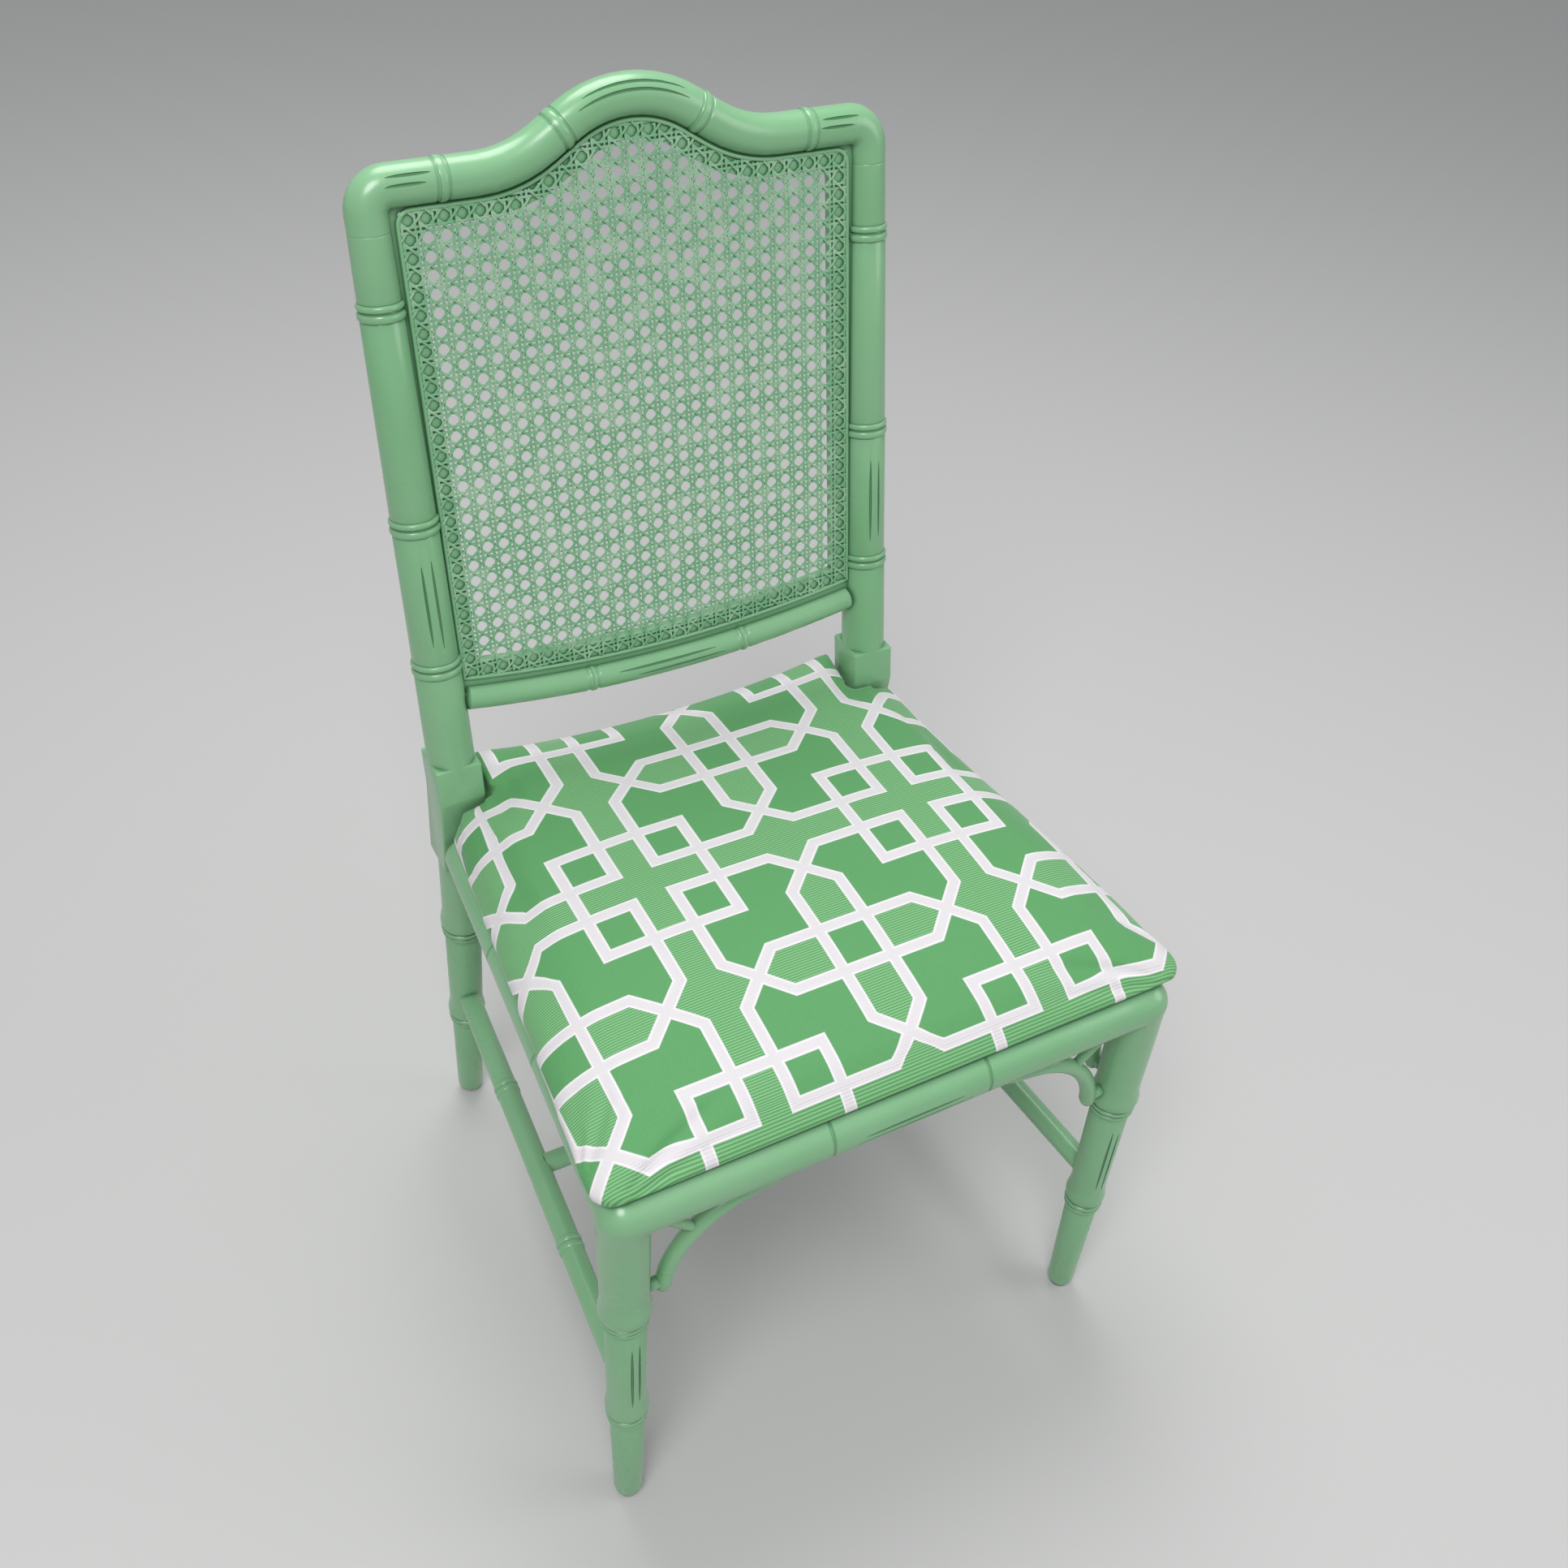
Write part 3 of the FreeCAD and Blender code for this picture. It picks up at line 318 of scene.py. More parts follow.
class Bar:
    """Straight round bar: a line, the side that it faces and its (station, radius) outline."""

    def __init__(self, start, along, facing, outline):
        z_axis = along.normalized()
        y_axis = (facing - facing.dot(z_axis) * z_axis).normalized()
        self.place = axes(y_axis.cross(z_axis), y_axis, z_axis, start)
        self.outline = outline

    def at(self, station):
        """Frame at a station: x to the side, y to the facing side, z along the bar."""
        return self.place @ Matrix.Translation((0, 0, station))

    def radius(self, station):
        for (low, first), (high, last) in zip(self.outline, self.outline[1:]):
            if low <= station <= high and high > low:
                return first + (last - first) * (station - low) / (high - low)
        return self.outline[-1][1]

    def shape(self, steps=ROUND_STEPS):
        return spun(self.outline, self.place, steps)


class BentBar(Bar):
    """Round bar along a route of lines and arcs that lies in one plane."""

    def __init__(self, route, origin, across, upward, outline):
        self.route = route
        self.origin = origin
        self.across = across
        self.upward = upward
        self.facing = across.cross(upward)
        self.outline = outline

    def at(self, station):
        x, z, heading = self.route.at(station)
        along = math.cos(heading) * self.across + math.sin(heading) * self.upward
        spot = self.origin + x * self.across + z * self.upward
        return axes(self.facing.cross(along), self.facing, along, spot)

    def stations(self):
        apart = 0.0006
        ends = {station for station, radius in self.outline}
        first, last = self.outline[0][0], self.outline[-1][0]
        spread = {station for station in self.route.stations() if first < station < last}
        return sorted(ends | {s for s in spread if all(abs(s - end) > apart for end in ends)})

    def shape(self, steps=ROUND_STEPS):
        frames = []
        for station in self.stations():
            girth = self.radius(station)
            frames.append(self.at(station) @ Matrix.Diagonal((girth, girth, 1, 1)))
        return sleeve(frames, steps)


class Route:
    """Line drawn in a plane by moving forward and turning; headings in radians from across."""

    LINE_GAP = 0.024
    ARC_GAP = 0.016
    ARC_TURN = 0.12

    def __init__(self, x, z, heading):
        self.moves = []
        self.length = 0.0
        self.here = (x, z, heading)

    def forward(self, distance):
        self.moves.append((self.length, distance, self.here, 0.0))
        self.length += distance
        self.here = self.at(self.length)
        return self

    def turn(self, radius, angle):
        """Arc to the left for a positive angle, in degrees."""
        sweep = math.radians(angle)
        reach = abs(radius * sweep)
        self.moves.append((self.length, reach, self.here, math.copysign(1 / radius, sweep)))
        self.length += reach
        self.here = self.at(self.length)
        return self

    def at(self, station):
        begin, reach, (x, z, heading), curve = [m for m in self.moves if m[0] <= station + TINY][-1]
        run = station - begin
        if not curve:
            return x + run * math.cos(heading), z + run * math.sin(heading), heading
        ahead = heading + run * curve
        x += (math.sin(ahead) - math.sin(heading)) / curve
        z -= (math.cos(ahead) - math.cos(heading)) / curve
        return x, z, ahead

    def stations(self):
        """Even stations along every move, closer on arcs."""
        found = [0.0]
        for begin, reach, start, curve in self.moves:
            gap = min(self.ARC_GAP, self.ARC_TURN / abs(curve)) if curve else self.LINE_GAP
            count = max(1, math.ceil(reach / gap))
            found += [begin + reach * i / count for i in range(1, count + 1)]
        return found


def bead(middle, half, base, proud):
    """Half-round ring as (station, radius) points."""
    turns = [math.radians(a) for a in range(-90, 91, 30)]
    return [(middle + half * math.sin(a), base + proud * math.cos(a)) for a in turns]


def twin_beads(at, aside, half, base, proud):
    """Two like beads side by side."""
    return bead(at - aside, half, base, proud) + bead(at + aside, half, base, proud)


def ring(at, below, above, proud):
    """Two beads of a bamboo node, the wider one on the side of the thicker segment."""
    wide, slim = 0.0031, 0.0025
    apart, beside = 0.0004, 0.0012
    upper, lower = (wide, slim) if above >= below else (slim, wide)
    middle = (below + above) / 2
    sunk = proud * 0.25
    low = bead(at - lower - apart, lower, (middle + below) / 2 - sunk, proud)
    high = bead(at + upper + apart, upper, (middle + above) / 2 - sunk, proud)
    return [(low[0][0] - beside, below)] + low + high + [(high[-1][0] + beside, above)]


def node_end(at, below, above, proud):
    """Bamboo node of a leg: two fine beads under the flared, rounded end of the thicker segment."""
    low = bead(at - 0.0037, 0.0021, below - 0.0002, proud * 1.2)
    high = bead(at + 0.0017, 0.0024, below + 0.0002, proud * 1.3)
    under = [(at - 0.0078, below), (at - 0.0063, below - 0.0007)]
    between = [(at - 0.0011, below - 0.0006)]
    over = [(at + 0.0045, below - 0.0002)]
    flare = ((0.0068, 0.0010), (0.0095, 0.0017), (0.0125, 0.0019), (0.0160, 0.0015), (0.0200, 0.0008))
    flare += ((0.0250, 0.0002), (0.0300, 0.0))
    swollen = [(at + rise, above + out) for rise, out in flare]
    return under + low + between + high + over + swollen


def groove(at, radius, depth, half=0.0016):
    """Narrow turned groove, with plain loops beside it that keep the shading even."""
    beside = half + 0.0007
    near = [(at - beside, radius), (at - half, radius)]
    cut = [(at - half / 3, radius - depth), (at + half / 3, radius - depth)]
    far = [(at + half, radius), (at + beside, radius)]
    return near + cut + far


def grooved_bead(at, aside, half, radius, proud, groove_half=0.0016):
    """Low bead between two shallow grooves."""
    shallow = 0.0006
    low, high = (groove(at + way * aside, radius, shallow, groove_half) for way in (-1, 1))
    return low + bead(at, half, radius, proud) + high


def slit(bar, start, end, angle, sizes, count=14):
    """Boat-shaped cutter along a bar's surface, turned from its facing side by an angle in degrees."""
    point, curve, corners = 0.02, 0.4, 8
    frames = []
    for step in range(count + 1):
        share = step / count
        station = start + (end - start) * share
        swell = max(math.sin(math.pi * share), point) ** curve
        place = bar.at(station)
        x_axis, y_axis, z_axis = (place.col[i].to_3d() for i in range(3))
        turn = math.radians(angle)
        outward = math.cos(turn) * y_axis + math.sin(turn) * x_axis
        sideways = math.cos(turn) * x_axis - math.sin(turn) * y_axis
        spot = place.translation + bar.radius(station) * outward
        shape = Matrix.Diagonal((sizes.slit_width / 2 * swell, sizes.slit_depth * swell, 1, 1))
        frames.append(axes(sideways, outward, z_axis, spot) @ shape)
    return sleeve(frames, corners)


def carved(bm, bar, cuts, sizes):
    """Bar with its slits cut out; each cut is (start, end, angle)."""
    tools = [slit(bar, start, end, angle, sizes) for start, end, angle in cuts]
    return boolean(bm, merged(*tools), "DIFFERENCE")


# Materials


class Shader:
    """Short way to add nodes to a material and join them."""

    def __init__(self, name):
        self.material = bpy.data.materials.new(name)
        self.material.use_nodes = True
        self.tree = self.material.node_tree
        self.surface = self.tree.nodes["Principled BSDF"]

    def add(self, kind, values=(), **settings):
        made = self.tree.nodes.new(kind)
        for word, setting in settings.items():
            setattr(made, word, setting)
        for socket, value in dict(values).items():
            self.feed(made.inputs[socket], value)
        return made

    def feed(self, socket, value):
        if isinstance(value, bpy.types.NodeSocket):
            self.tree.links.new(value, socket)
        else:
            socket.default_value = value

    def set(self, **values):
        for word, value in values.items():
            self.feed(self.surface.inputs[word.replace("_", " ")], value)

    def sum(self, operation, *values):
        """Math node; its result."""
        made = self.add("ShaderNodeMath", operation=operation)
        for index, value in enumerate(values):
            self.feed(made.inputs[index], value)
        return made.outputs[0]

    def largest(self, first, *others):
        for other in others:
            first = self.sum("MAXIMUM", first, other)
        return first

    def smallest(self, first, *others):
        for other in others:
            first = self.sum("MINIMUM", first, other)
        return first

    def ramp(self, value, low, high, start=0.0, end=1.0):
        """Smooth step of a value from start at low to end at high."""
        made = self.add("ShaderNodeMapRange", {
            "Value": value, "From Min": low, "From Max": high, "To Min": start, "To Max": end,
        }, interpolation_type="SMOOTHSTEP")
        return made.outputs[0]

    def mix(self, share, first, second):
        """Colour mix."""
        made = self.add("ShaderNodeMix", data_type="RGBA")
        self.feed(made.inputs["Factor"], share)
        for name, value in (("A", first), ("B", second)):
            socket = [s for s in made.inputs if s.name == name and s.type == "RGBA"][0]
            self.feed(socket, value)
        return [s for s in made.outputs if s.type == "RGBA"][0]

    def place(self):
        return self.add("ShaderNodeTexCoord").outputs["Object"]

    def noise(self, scale, detail=2.0, vector=None, **values):
        made = self.add("ShaderNodeTexNoise", {"Scale": scale, "Detail": detail, **values})
        self.feed(made.inputs["Vector"], vector or self.place())
        return made.outputs[0]

    def bump(self, height, strength, distance):
        made = self.add("ShaderNodeBump", {"Height": height, "Strength": strength, "Distance": distance})
        self.feed(self.surface.inputs["Normal"], made.outputs[0])


def colour(value):
    return (*value, 1.0)


def paint(finish):
    """Glossy green paint, worn paler in random patches, with painted shade in grooves, slits and joints.
    """
    shader = Shader("green_paint")
    # Painted shade: ambient occlusion mixes the crease colour into the paint in grooves, slits and
    # joints, where shade falls.
    crease = shader.add("ShaderNodeAmbientOcclusion", {"Distance": 0.006}, samples=6)
    depth = shader.ramp(crease.outputs["AO"], 0.40, 0.95, 1.0, 0.0)
    drift = shader.noise(9.0, 3.0)
    worn = shader.ramp(drift, 0.35, 0.68, 0.0, 0.14)
    tone = shader.mix(worn, colour(finish.paint), colour(finish.cane_pale))
    base = shader.mix(shader.sum("MULTIPLY", depth, 0.85), tone, colour(finish.painted_crease_shade))
    shader.set(Base_Color=base, Roughness=shader.ramp(drift, 0.3, 0.7, 0.24, 0.33), Coat_Weight=0.25)
    shader.set(Coat_Roughness=0.12)
    return shader.material


def cane_paint(finish):
    """Green paint on cane, thin and pale in random patches, with painted shade where the strands cross
    and meet the frame.
    """
    shader = Shader("painted_cane")
    # Painted shade: ambient occlusion mixes the crease colour into the cane where strands cross and meet
    # the frame.
    crease = shader.add("ShaderNodeAmbientOcclusion", {"Distance": 0.004}, samples=6)
    depth = shader.ramp(crease.outputs["AO"], 0.30, 0.90, 1.0, 0.0)
    patch = shader.ramp(shader.noise(70.0, 2.0), 0.40, 0.66)
    tone = shader.mix(shader.sum("MULTIPLY", patch, 0.55), colour(finish.cane), colour(finish.cane_pale))
    base = shader.mix(shader.sum("MULTIPLY", depth, 0.9), tone, colour(finish.painted_crease_shade))
    shader.set(Base_Color=base, Roughness=0.42)
    return shader.material


def lattice_cloth(finish, sizes):
    """Woven seat cloth: green twill and ribbed fields parted by a pale lattice of bands."""
    shader = Shader("lattice_cloth")
    cloth = shader.add("ShaderNodeAttribute", attribute_name="cloth").outputs["Vector"]
    spot = shader.add("ShaderNodeSeparateXYZ", {"Vector": cloth})
    unit = sizes.repeat / 2
    half_x = shader.sum("PINGPONG", spot.outputs[0], unit)
    half_y = shader.sum("PINGPONG", spot.outputs[1], unit)
    long = shader.sum("DIVIDE", shader.largest(half_x, half_y), unit)
    short = shader.sum("DIVIDE", shader.smallest(half_x, half_y), unit)

    # Lines of the lattice in one eighth of a cell, as shares of half the repeat
    square, channel, lobe, point = 0.460, 0.142, 0.828, 0.310
    slant = 1 / math.sqrt(2)

    def less(first, second):
        return shader.sum("SUBTRACT", first, second)

    def away(value, level=0.0):
        return shader.sum("ABSOLUTE", less(value, level))

    spread = less(less(short, long), channel - lobe)
    total = less(shader.sum("ADD", long, short), 1 + point)
    run = shader.smallest(less(short, channel), shader.sum("MULTIPLY", spread, slant))
    petal = shader.smallest(less(long, lobe), shader.sum("MULTIPLY", total, slant))
    bands = [
        shader.largest(away(long, square), less(short, square)),
        shader.largest(away(run), less(channel, long)),
        away(petal),
        shader.largest(away(short, lobe), less(lobe, long)),
    ]
    line = shader.smallest(*bands)
    edge = sizes.band / 2 / unit
    soft = 0.0035
    band = shader.ramp(line, edge - soft, edge + soft, 1.0, 0.0)
    rim = shader.ramp(line, edge * 0.55, edge * 0.80)

    # Fields: ribs in the channels and in the long lobes, twill elsewhere
    below_lobe = shader.sum("LESS_THAN", short, lobe)
    in_petal = shader.smallest(shader.sum("GREATER_THAN", petal, 0.0), below_lobe)
    ribbed = shader.largest(shader.sum("LESS_THAN", run, 0.0), in_petal)
    rib_pitch = 0.0021
    rib_wave = shader.sum("PINGPONG", shader.sum("DIVIDE", spot.outputs[1], rib_pitch / 2), 1.0)
    twill_pitch = 0.0011
    lean = shader.sum("ADD", spot.outputs[0], shader.sum("MULTIPLY", spot.outputs[1], 0.6))
    twill_wave = shader.sum("PINGPONG", shader.sum("DIVIDE", lean, twill_pitch / 2), 1.0)
    fleck = shader.noise(1500.0, 1.0, cloth)
    rib_share = shader.ramp(rib_wave, 0.30, 0.70)
    twill_crest = shader.ramp(twill_wave, 0.55, 0.95)
    twill_share = shader.sum("MULTIPLY", twill_crest, shader.ramp(fleck, 0.35, 0.65, 0.1, 0.5))
    share = shader.add("ShaderNodeMix", {"Factor": ribbed}, data_type="FLOAT")
    shader.feed(share.inputs[2], twill_share)
    shader.feed(share.inputs[3], shader.sum("MULTIPLY", rib_share, 0.85))
    field = shader.mix(share.outputs[0], colour(finish.ground), colour(finish.rib))
    dull = tuple(0.86 * part for part in finish.band)
    pale = shader.mix(rim, colour(dull), colour(finish.band))
    base = shader.mix(band, field, pale)
    height = shader.add("ShaderNodeMix", {"Factor": ribbed}, data_type="FLOAT")
    shader.feed(height.inputs[2], shader.sum("MULTIPLY", twill_wave, 0.3))
    shader.feed(height.inputs[3], rib_wave)
    raised = shader.sum("ADD", shader.sum("MULTIPLY", band, 1.6), height.outputs[0])
    shader.set(Base_Color=base, Roughness=0.72, Sheen_Weight=0.25, Sheen_Roughness=0.4)
    shader.bump(raised, 0.5, 0.0004)
    return shader.material


def bare_wood(name, light, dark, grain):
    """Unfinished timber or plywood with grain along one axis."""
    shader = Shader(name)
    stretched = shader.add("ShaderNodeMapping", {"Vector": shader.place(), "Scale": grain})
    streak = shader.noise(22.0, 4.0, stretched.outputs[0])
    base = shader.mix(shader.ramp(streak, 0.3, 0.7), colour(light), colour(dark))
    shader.set(Base_Color=base, Roughness=0.75)
    shader.bump(streak, 0.25, 0.0005)
    return shader.material


def dust_cloth():
    """Thin black non-woven cloth with pressed dots."""
    shader = Shader("dust_cloth")
    dots = shader.add("ShaderNodeTexVoronoi", {"Vector": shader.place(), "Scale": 420.0}).outputs[0]
    fibre = shader.noise(600.0, 3.0)
    black, grey = (0.012, 0.012, 0.013), (0.035, 0.035, 0.037)
    shader.set(Base_Color=shader.mix(fibre, colour(black), colour(grey)), Roughness=0.9)
    shader.bump(shader.ramp(dots, 0.1, 0.5), 0.4, 0.0004)
    return shader.material


def steel():
    """Plated steel with fine scratches."""
    shader = Shader("glide_steel")
    scratch = shader.noise(420.0, 4.0)
    dullness = shader.ramp(scratch, 0.3, 0.7, 0.25, 0.45)
    shader.set(Base_Color=(0.62, 0.62, 0.63, 1.0), Metallic=1.0, Roughness=dullness)
    shader.bump(scratch, 0.08, 0.0003)
    return shader.material


PALETTE = {}
BARE_WOODS = {
    "beech": ("bare_beech", (0.55, 0.37, 0.21), (0.44, 0.27, 0.14), (2.0, 12.0, 12.0)),
    "plywood": ("plywood", (0.66, 0.49, 0.30), (0.56, 0.38, 0.21), (10.0, 1.5, 40.0)),
}


def material(name):
    """Finish by name, made once."""
    scene = bpy.context.scene
    finish = scene.chair_finish
    makers = {
        "paint": lambda: paint(finish),
        "cane": lambda: cane_paint(finish),
        "cloth": lambda: lattice_cloth(finish, scene.chair_sizes),
        "beech": lambda: bare_wood(*BARE_WOODS["beech"]),
        "plywood": lambda: bare_wood(*BARE_WOODS["plywood"]),
        "dust": dust_cloth,
        "steel": steel,
    }
    if name not in PALETTE:
        PALETTE[name] = makers[name]()
    return PALETTE[name]


# Pieces


class ChairOperator:
    """What every step of the chair shares."""

    bl_options = {"REGISTER", "UNDO"}

    @property
    def sizes(self):
        return bpy.context.scene.chair_sizes


def tip(low, radius):
    """Rounded foot from a station up, as (station, radius) points."""
    rise, rounding = 0.009, 0.0052
    flat = radius - rounding
    turns = [math.radians(a) for a in (0, 20, 40, 60, 90)]
    return [(low, 0.0)] + [
        (low + rise * (1 - math.cos(a)), flat + rounding * math.sin(a)) for a in turns]


class CHAIR_OT_front_legs(ChairOperator, bpy.types.Operator):
    """Turned front legs with ball elbows and the stubs that run into the rails"""
    bl_idname = "chair.front_legs"
    bl_label = "Front legs"

    def execute(self, context):
        elbow, thigh, neck = 0.0194, 0.0186, 0.030
        ball_low = RAIL_HEIGHT - math.sqrt(elbow ** 2 - thigh ** 2)
        proud = self.sizes.bead_proud
        outline = tip(FLOOR_GAP, 0.0116)
        for at, below, above in zip(LEG_NODES, (0.0136, 0.0158), (0.0150, 0.0178)):
            outline += node_end(at, below, above, proud)
        outline += [(ball_low - neck, thigh)]
        rise = math.asin((ball_low - RAIL_HEIGHT) / elbow)
        rings = 12
        for step in range(rings + 1):
            turn = rise + (math.pi / 2 - rise) * step / rings
            outline.append((RAIL_HEIGHT + elbow * math.sin(turn), elbow * math.cos(turn)))
        shaft = Bar(Vector((-FRONT_X, FRONT_Y, 0)), UP, FORWARD, outline)
        corner = Vector((-FRONT_X, FRONT_Y, RAIL_HEIGHT))
        whole = shaft.shape(TURNED_STEPS)
        for along, radius in ((RIGHT, FRONT_RAIL_RADIUS), (SIDE_ALONG, SIDE_RAIL_RADIUS)):
            rod = Bar(corner, along, UP, [(0.0, radius), (RAIL_STUB, radius)])
            whole = boolean(whole, rod.shape(TURNED_STEPS), "UNION")
        whole = sliced(whole, Vector((0, 0, SEAT_PLANE)), UP)
        cuts = [(0.160, 0.238, -17.0), (0.156, 0.235, 6.0)]
        painted_pair("front_leg_", "_turned", carved(whole, shaft, cuts, self.sizes))
        return {"FINISHED"}


class CHAIR_OT_rear_legs(ChairOperator, bpy.types.Operator):
    """Splayed rear legs with a square block at the seat and raked posts"""
    bl_idname = "chair.rear_legs"
    bl_label = "Rear legs"

    def execute(self, context):
        proud = self.sizes.bead_proud
        kink = Vector((-REAR_X, KINK_Y, KINK_HEIGHT))
        foot = Vector((-REAR_X, REAR_FOOT_Y, FLOOR_GAP))
        leg_length = (kink - foot).length
        slope = leg_length / (KINK_HEIGHT - FLOOR_GAP)

        def up(level):
            return (level - FLOOR_GAP) * slope

        outline = tip(0.0, 0.0120)
        for at, below, above in zip(LEG_NODES, (0.0136, 0.0158), (0.0149, 0.0170)):
            outline += node_end(up(at), below, above, proud)
        thigh = 0.0176
        outline += [(up(RAIL_HEIGHT), thigh), (up(RAIL_HEIGHT) + 0.001, 0.0)]
        lower = Bar(foot, kink - foot, FORWARD, outline)
        root, neck = 0.015, 0.0143
        post_outline = [(root, 0.0), (root, 0.0185), (0.062, 0.0184)]
        rings = ((0.1129, 0.0179, 0.0176), (0.2277, 0.0170, 0.0167), (0.3816, 0.0152, 0.0149))
        for at, below, above in rings:
            post_outline += ring(at, below, above, proud)
        post_outline += [(POST_JOINT - 0.0012, neck), (POST_JOINT - 0.0003, neck)]
        post_outline += [(POST_JOINT, neck - 0.0002), (POST_JOINT, 0.0)]
        post = Bar(kink, BACK_UP, BACK_FACE, post_outline)
        whole = self.block(kink, (foot - kink).normalized())
        for bar in (post, lower):
            whole = boolean(whole, bar.shape(TURNED_STEPS), "UNION")
        whole = sliced(whole, Vector((0, 0, FLOOR_GAP)), -UP)
        cuts = [(0.132, 0.203, -12.0), (0.135, 0.200, 14.0)]
        painted_pair("rear_leg_", "_turned", carved(whole, post, cuts, self.sizes))
        return {"FINISHED"}

    def block(self, kink, downward):
        """Square block bent at the kink, with softened edges."""
        half = BLOCK_HALF
        lift = 0.030
        drop = 0.080
        bm = bmesh.new()
        top = kink + BACK_UP * (lift / BACK_UP.z)
        low = kink + downward * (drop / -downward.z)
        loop = [bm.verts.new(low + Vector((x, y, 0))) for x, y in (
            (-half, -half), (half, -half), (half, half), (-half, half))]
        rim = [bm.edges.new((loop[i - 1], loop[i])) for i in range(4)]
        for step in (kink - low, top - kink):
            fresh, rim = grown(bm, rim)
            bmesh.ops.translate(bm, vec=step, verts=fresh)
        close_up(bm)
        bmesh.ops.bevel(
            bm, geom=bm.edges[:], offset=0.0016, offset_type="OFFSET", segments=3, profile=0.5,
            affect="EDGES", material=-1)
        return bm


def crest_route():
    """Camel-back line of the crest from the left post to the right one, in the plane of the back."""
    elbow = 0.016
    flat = REAR_X - elbow - CREST_RUN
    upright = CREST_SHOULDER - elbow - POST_JOINT
    route = Route(-REAR_X, POST_JOINT, math.pi / 2).forward(upright).turn(elbow, -90).forward(flat)
    route.turn(VALLEY_RADIUS, CREST_SLOPE).forward(CREST_STRAIGHT).turn(HUMP_RADIUS, -2 * CREST_SLOPE)
    route.forward(CREST_STRAIGHT).turn(VALLEY_RADIUS, CREST_SLOPE)
    return route.forward(flat).turn(elbow, -90).forward(upright)


class CHAIR_OT_crest(ChairOperator, bpy.types.Operator):
    """Bent camel-back crest rail with ringed nodes and carved slits"""
    bl_idname = "chair.crest"
    bl_label = "Crest rail"

    def execute(self, context):
        route = crest_route()
        radius = 0.01425
        end = route.length
        middle = end / 2
        ease = ((0.0, 0.0002), (0.0003, 0.0), (0.0012, 0.0))
        outline = [(along, radius - inward) for along, inward in ease]
        for at in (self.station(route, x) for x in (-0.137, -0.052, 0.052, 0.137)):
            outline += grooved_bead(at, 0.0042, 0.0028, radius, 0.0007, 0.0010)
        outline += [(end - along, radius - inward) for along, inward in reversed(ease)]
        bar = BentBar(route, KINK, RIGHT, BACK_UP, outline)
        cuts = [(middle - 0.034, middle + 0.036, 40.0), (middle - 0.040, middle + 0.040, 18.0)]
        for near, far in ((-0.145, -0.174), (0.145, 0.174)):
            first, last = sorted((self.station(route, near), self.station(route, far)))
            cuts += [(first, last, 32.0), (first - 0.002, last - 0.004, 8.0)]
        shape = carved(bar.shape(CREST_STEPS), bar, cuts, self.sizes)
        painted("crest_rail_bent", shape, "crest_rail")
        return {"FINISHED"}

    def station(self, route, x):
        """Station along the crest whose point lies at x."""
        gap = 0.0005
        stations = [i * gap for i in range(int(route.length / gap))]
        return min(stations, key=lambda station: abs(route.at(station)[0] - x))


class CHAIR_OT_lower_rail(ChairOperator, bpy.types.Operator):
    """Slim bowed rail under the cane"""
    bl_idname = "chair.lower_rail"
    bl_label = "Lower back rail"

    def execute(self, context):
        reach, radius, ahead = 0.172, 0.010, 0.004
        sweep = math.degrees(math.asin(reach / LOW_BOW))
        rise = LOW_BOW - math.sqrt(LOW_BOW ** 2 - reach ** 2)
        route = Route(-reach, LOW_MIDDLE + rise, math.radians(-sweep)).turn(LOW_BOW, 2 * sweep)
        middle = route.length / 2
        nub = [math.radians(a) for a in (84, 60, 40, 20)]
        outline = [(radius * 0.55 * (1 - math.sin(a)) * 0.9, radius * math.cos(a)) for a in nub]
        for aside in (-0.067, 0.067):
            outline += grooved_bead(middle + aside, 0.0040, 0.0024, radius, 0.0008)
        outline += [(route.length - s, r) for s, r in reversed(outline[:len(nub)])]
        bar = BentBar(route, KINK + BACK_FACE * ahead, RIGHT, BACK_UP, outline)
        cuts = [(middle - 0.046, middle + 0.040, 24.0), (middle - 0.030, middle + 0.048, -10.0)]
        shape = carved(bar.shape(RAIL_STEPS), bar, cuts, self.sizes)
        painted("lower_back_rail_bowed", shape, "lower_back_rail")
        return {"FINISHED"}


class CHAIR_OT_seat_rails(ChairOperator, bpy.types.Operator):
    """Round seat rails with flat inner sides and grooved nodes"""
    bl_idname = "chair.seat_rails"
    bl_label = "Seat rails"

    def execute(self, context):
        inner, deep = 0.010, 0.0012
        span = FRONT_X - RAIL_STUB
        radius = FRONT_RAIL_RADIUS
        outline = [(-span, radius)]
        for at in (-0.0645, 0.0645):
            outline += groove(at, radius, deep)
        outline += [(span, radius)]
        front = Bar(Vector((0, FRONT_Y, RAIL_HEIGHT)), RIGHT, FORWARD, outline)
        shape = sliced(front.shape(TURNED_STEPS), Vector((0, 0, SEAT_PLANE)), UP)
        shape = sliced(shape, Vector((0, FRONT_Y + inner, 0)), -FORWARD)
        cuts = [(-0.040, 0.042, 4.0), (-0.046, 0.050, -13.0)]
        painted("front_rail_round", carved(shape, front, cuts, self.sizes), "front_rail")

        start = Vector((-FRONT_X, FRONT_Y, RAIL_HEIGHT))
        to_block = 0.0188
        radius = SIDE_RAIL_RADIUS
        outline = [(RAIL_STUB, radius)]
        for at in (0.140, 0.250):
            outline += groove(at, radius, deep)
        outline += [(SIDE_RUN.length - to_block, radius)]
        side_bar = Bar(start, SIDE_RUN, UP, outline)
        inward = SIDE_ALONG.cross(UP)
        shape = sliced(side_bar.shape(TURNED_STEPS), Vector((0, 0, SEAT_PLANE)), UP)
        painted_pair("side_rail_", "_round", sliced(shape, start + inward * inner, inward))
        return {"FINISHED"}


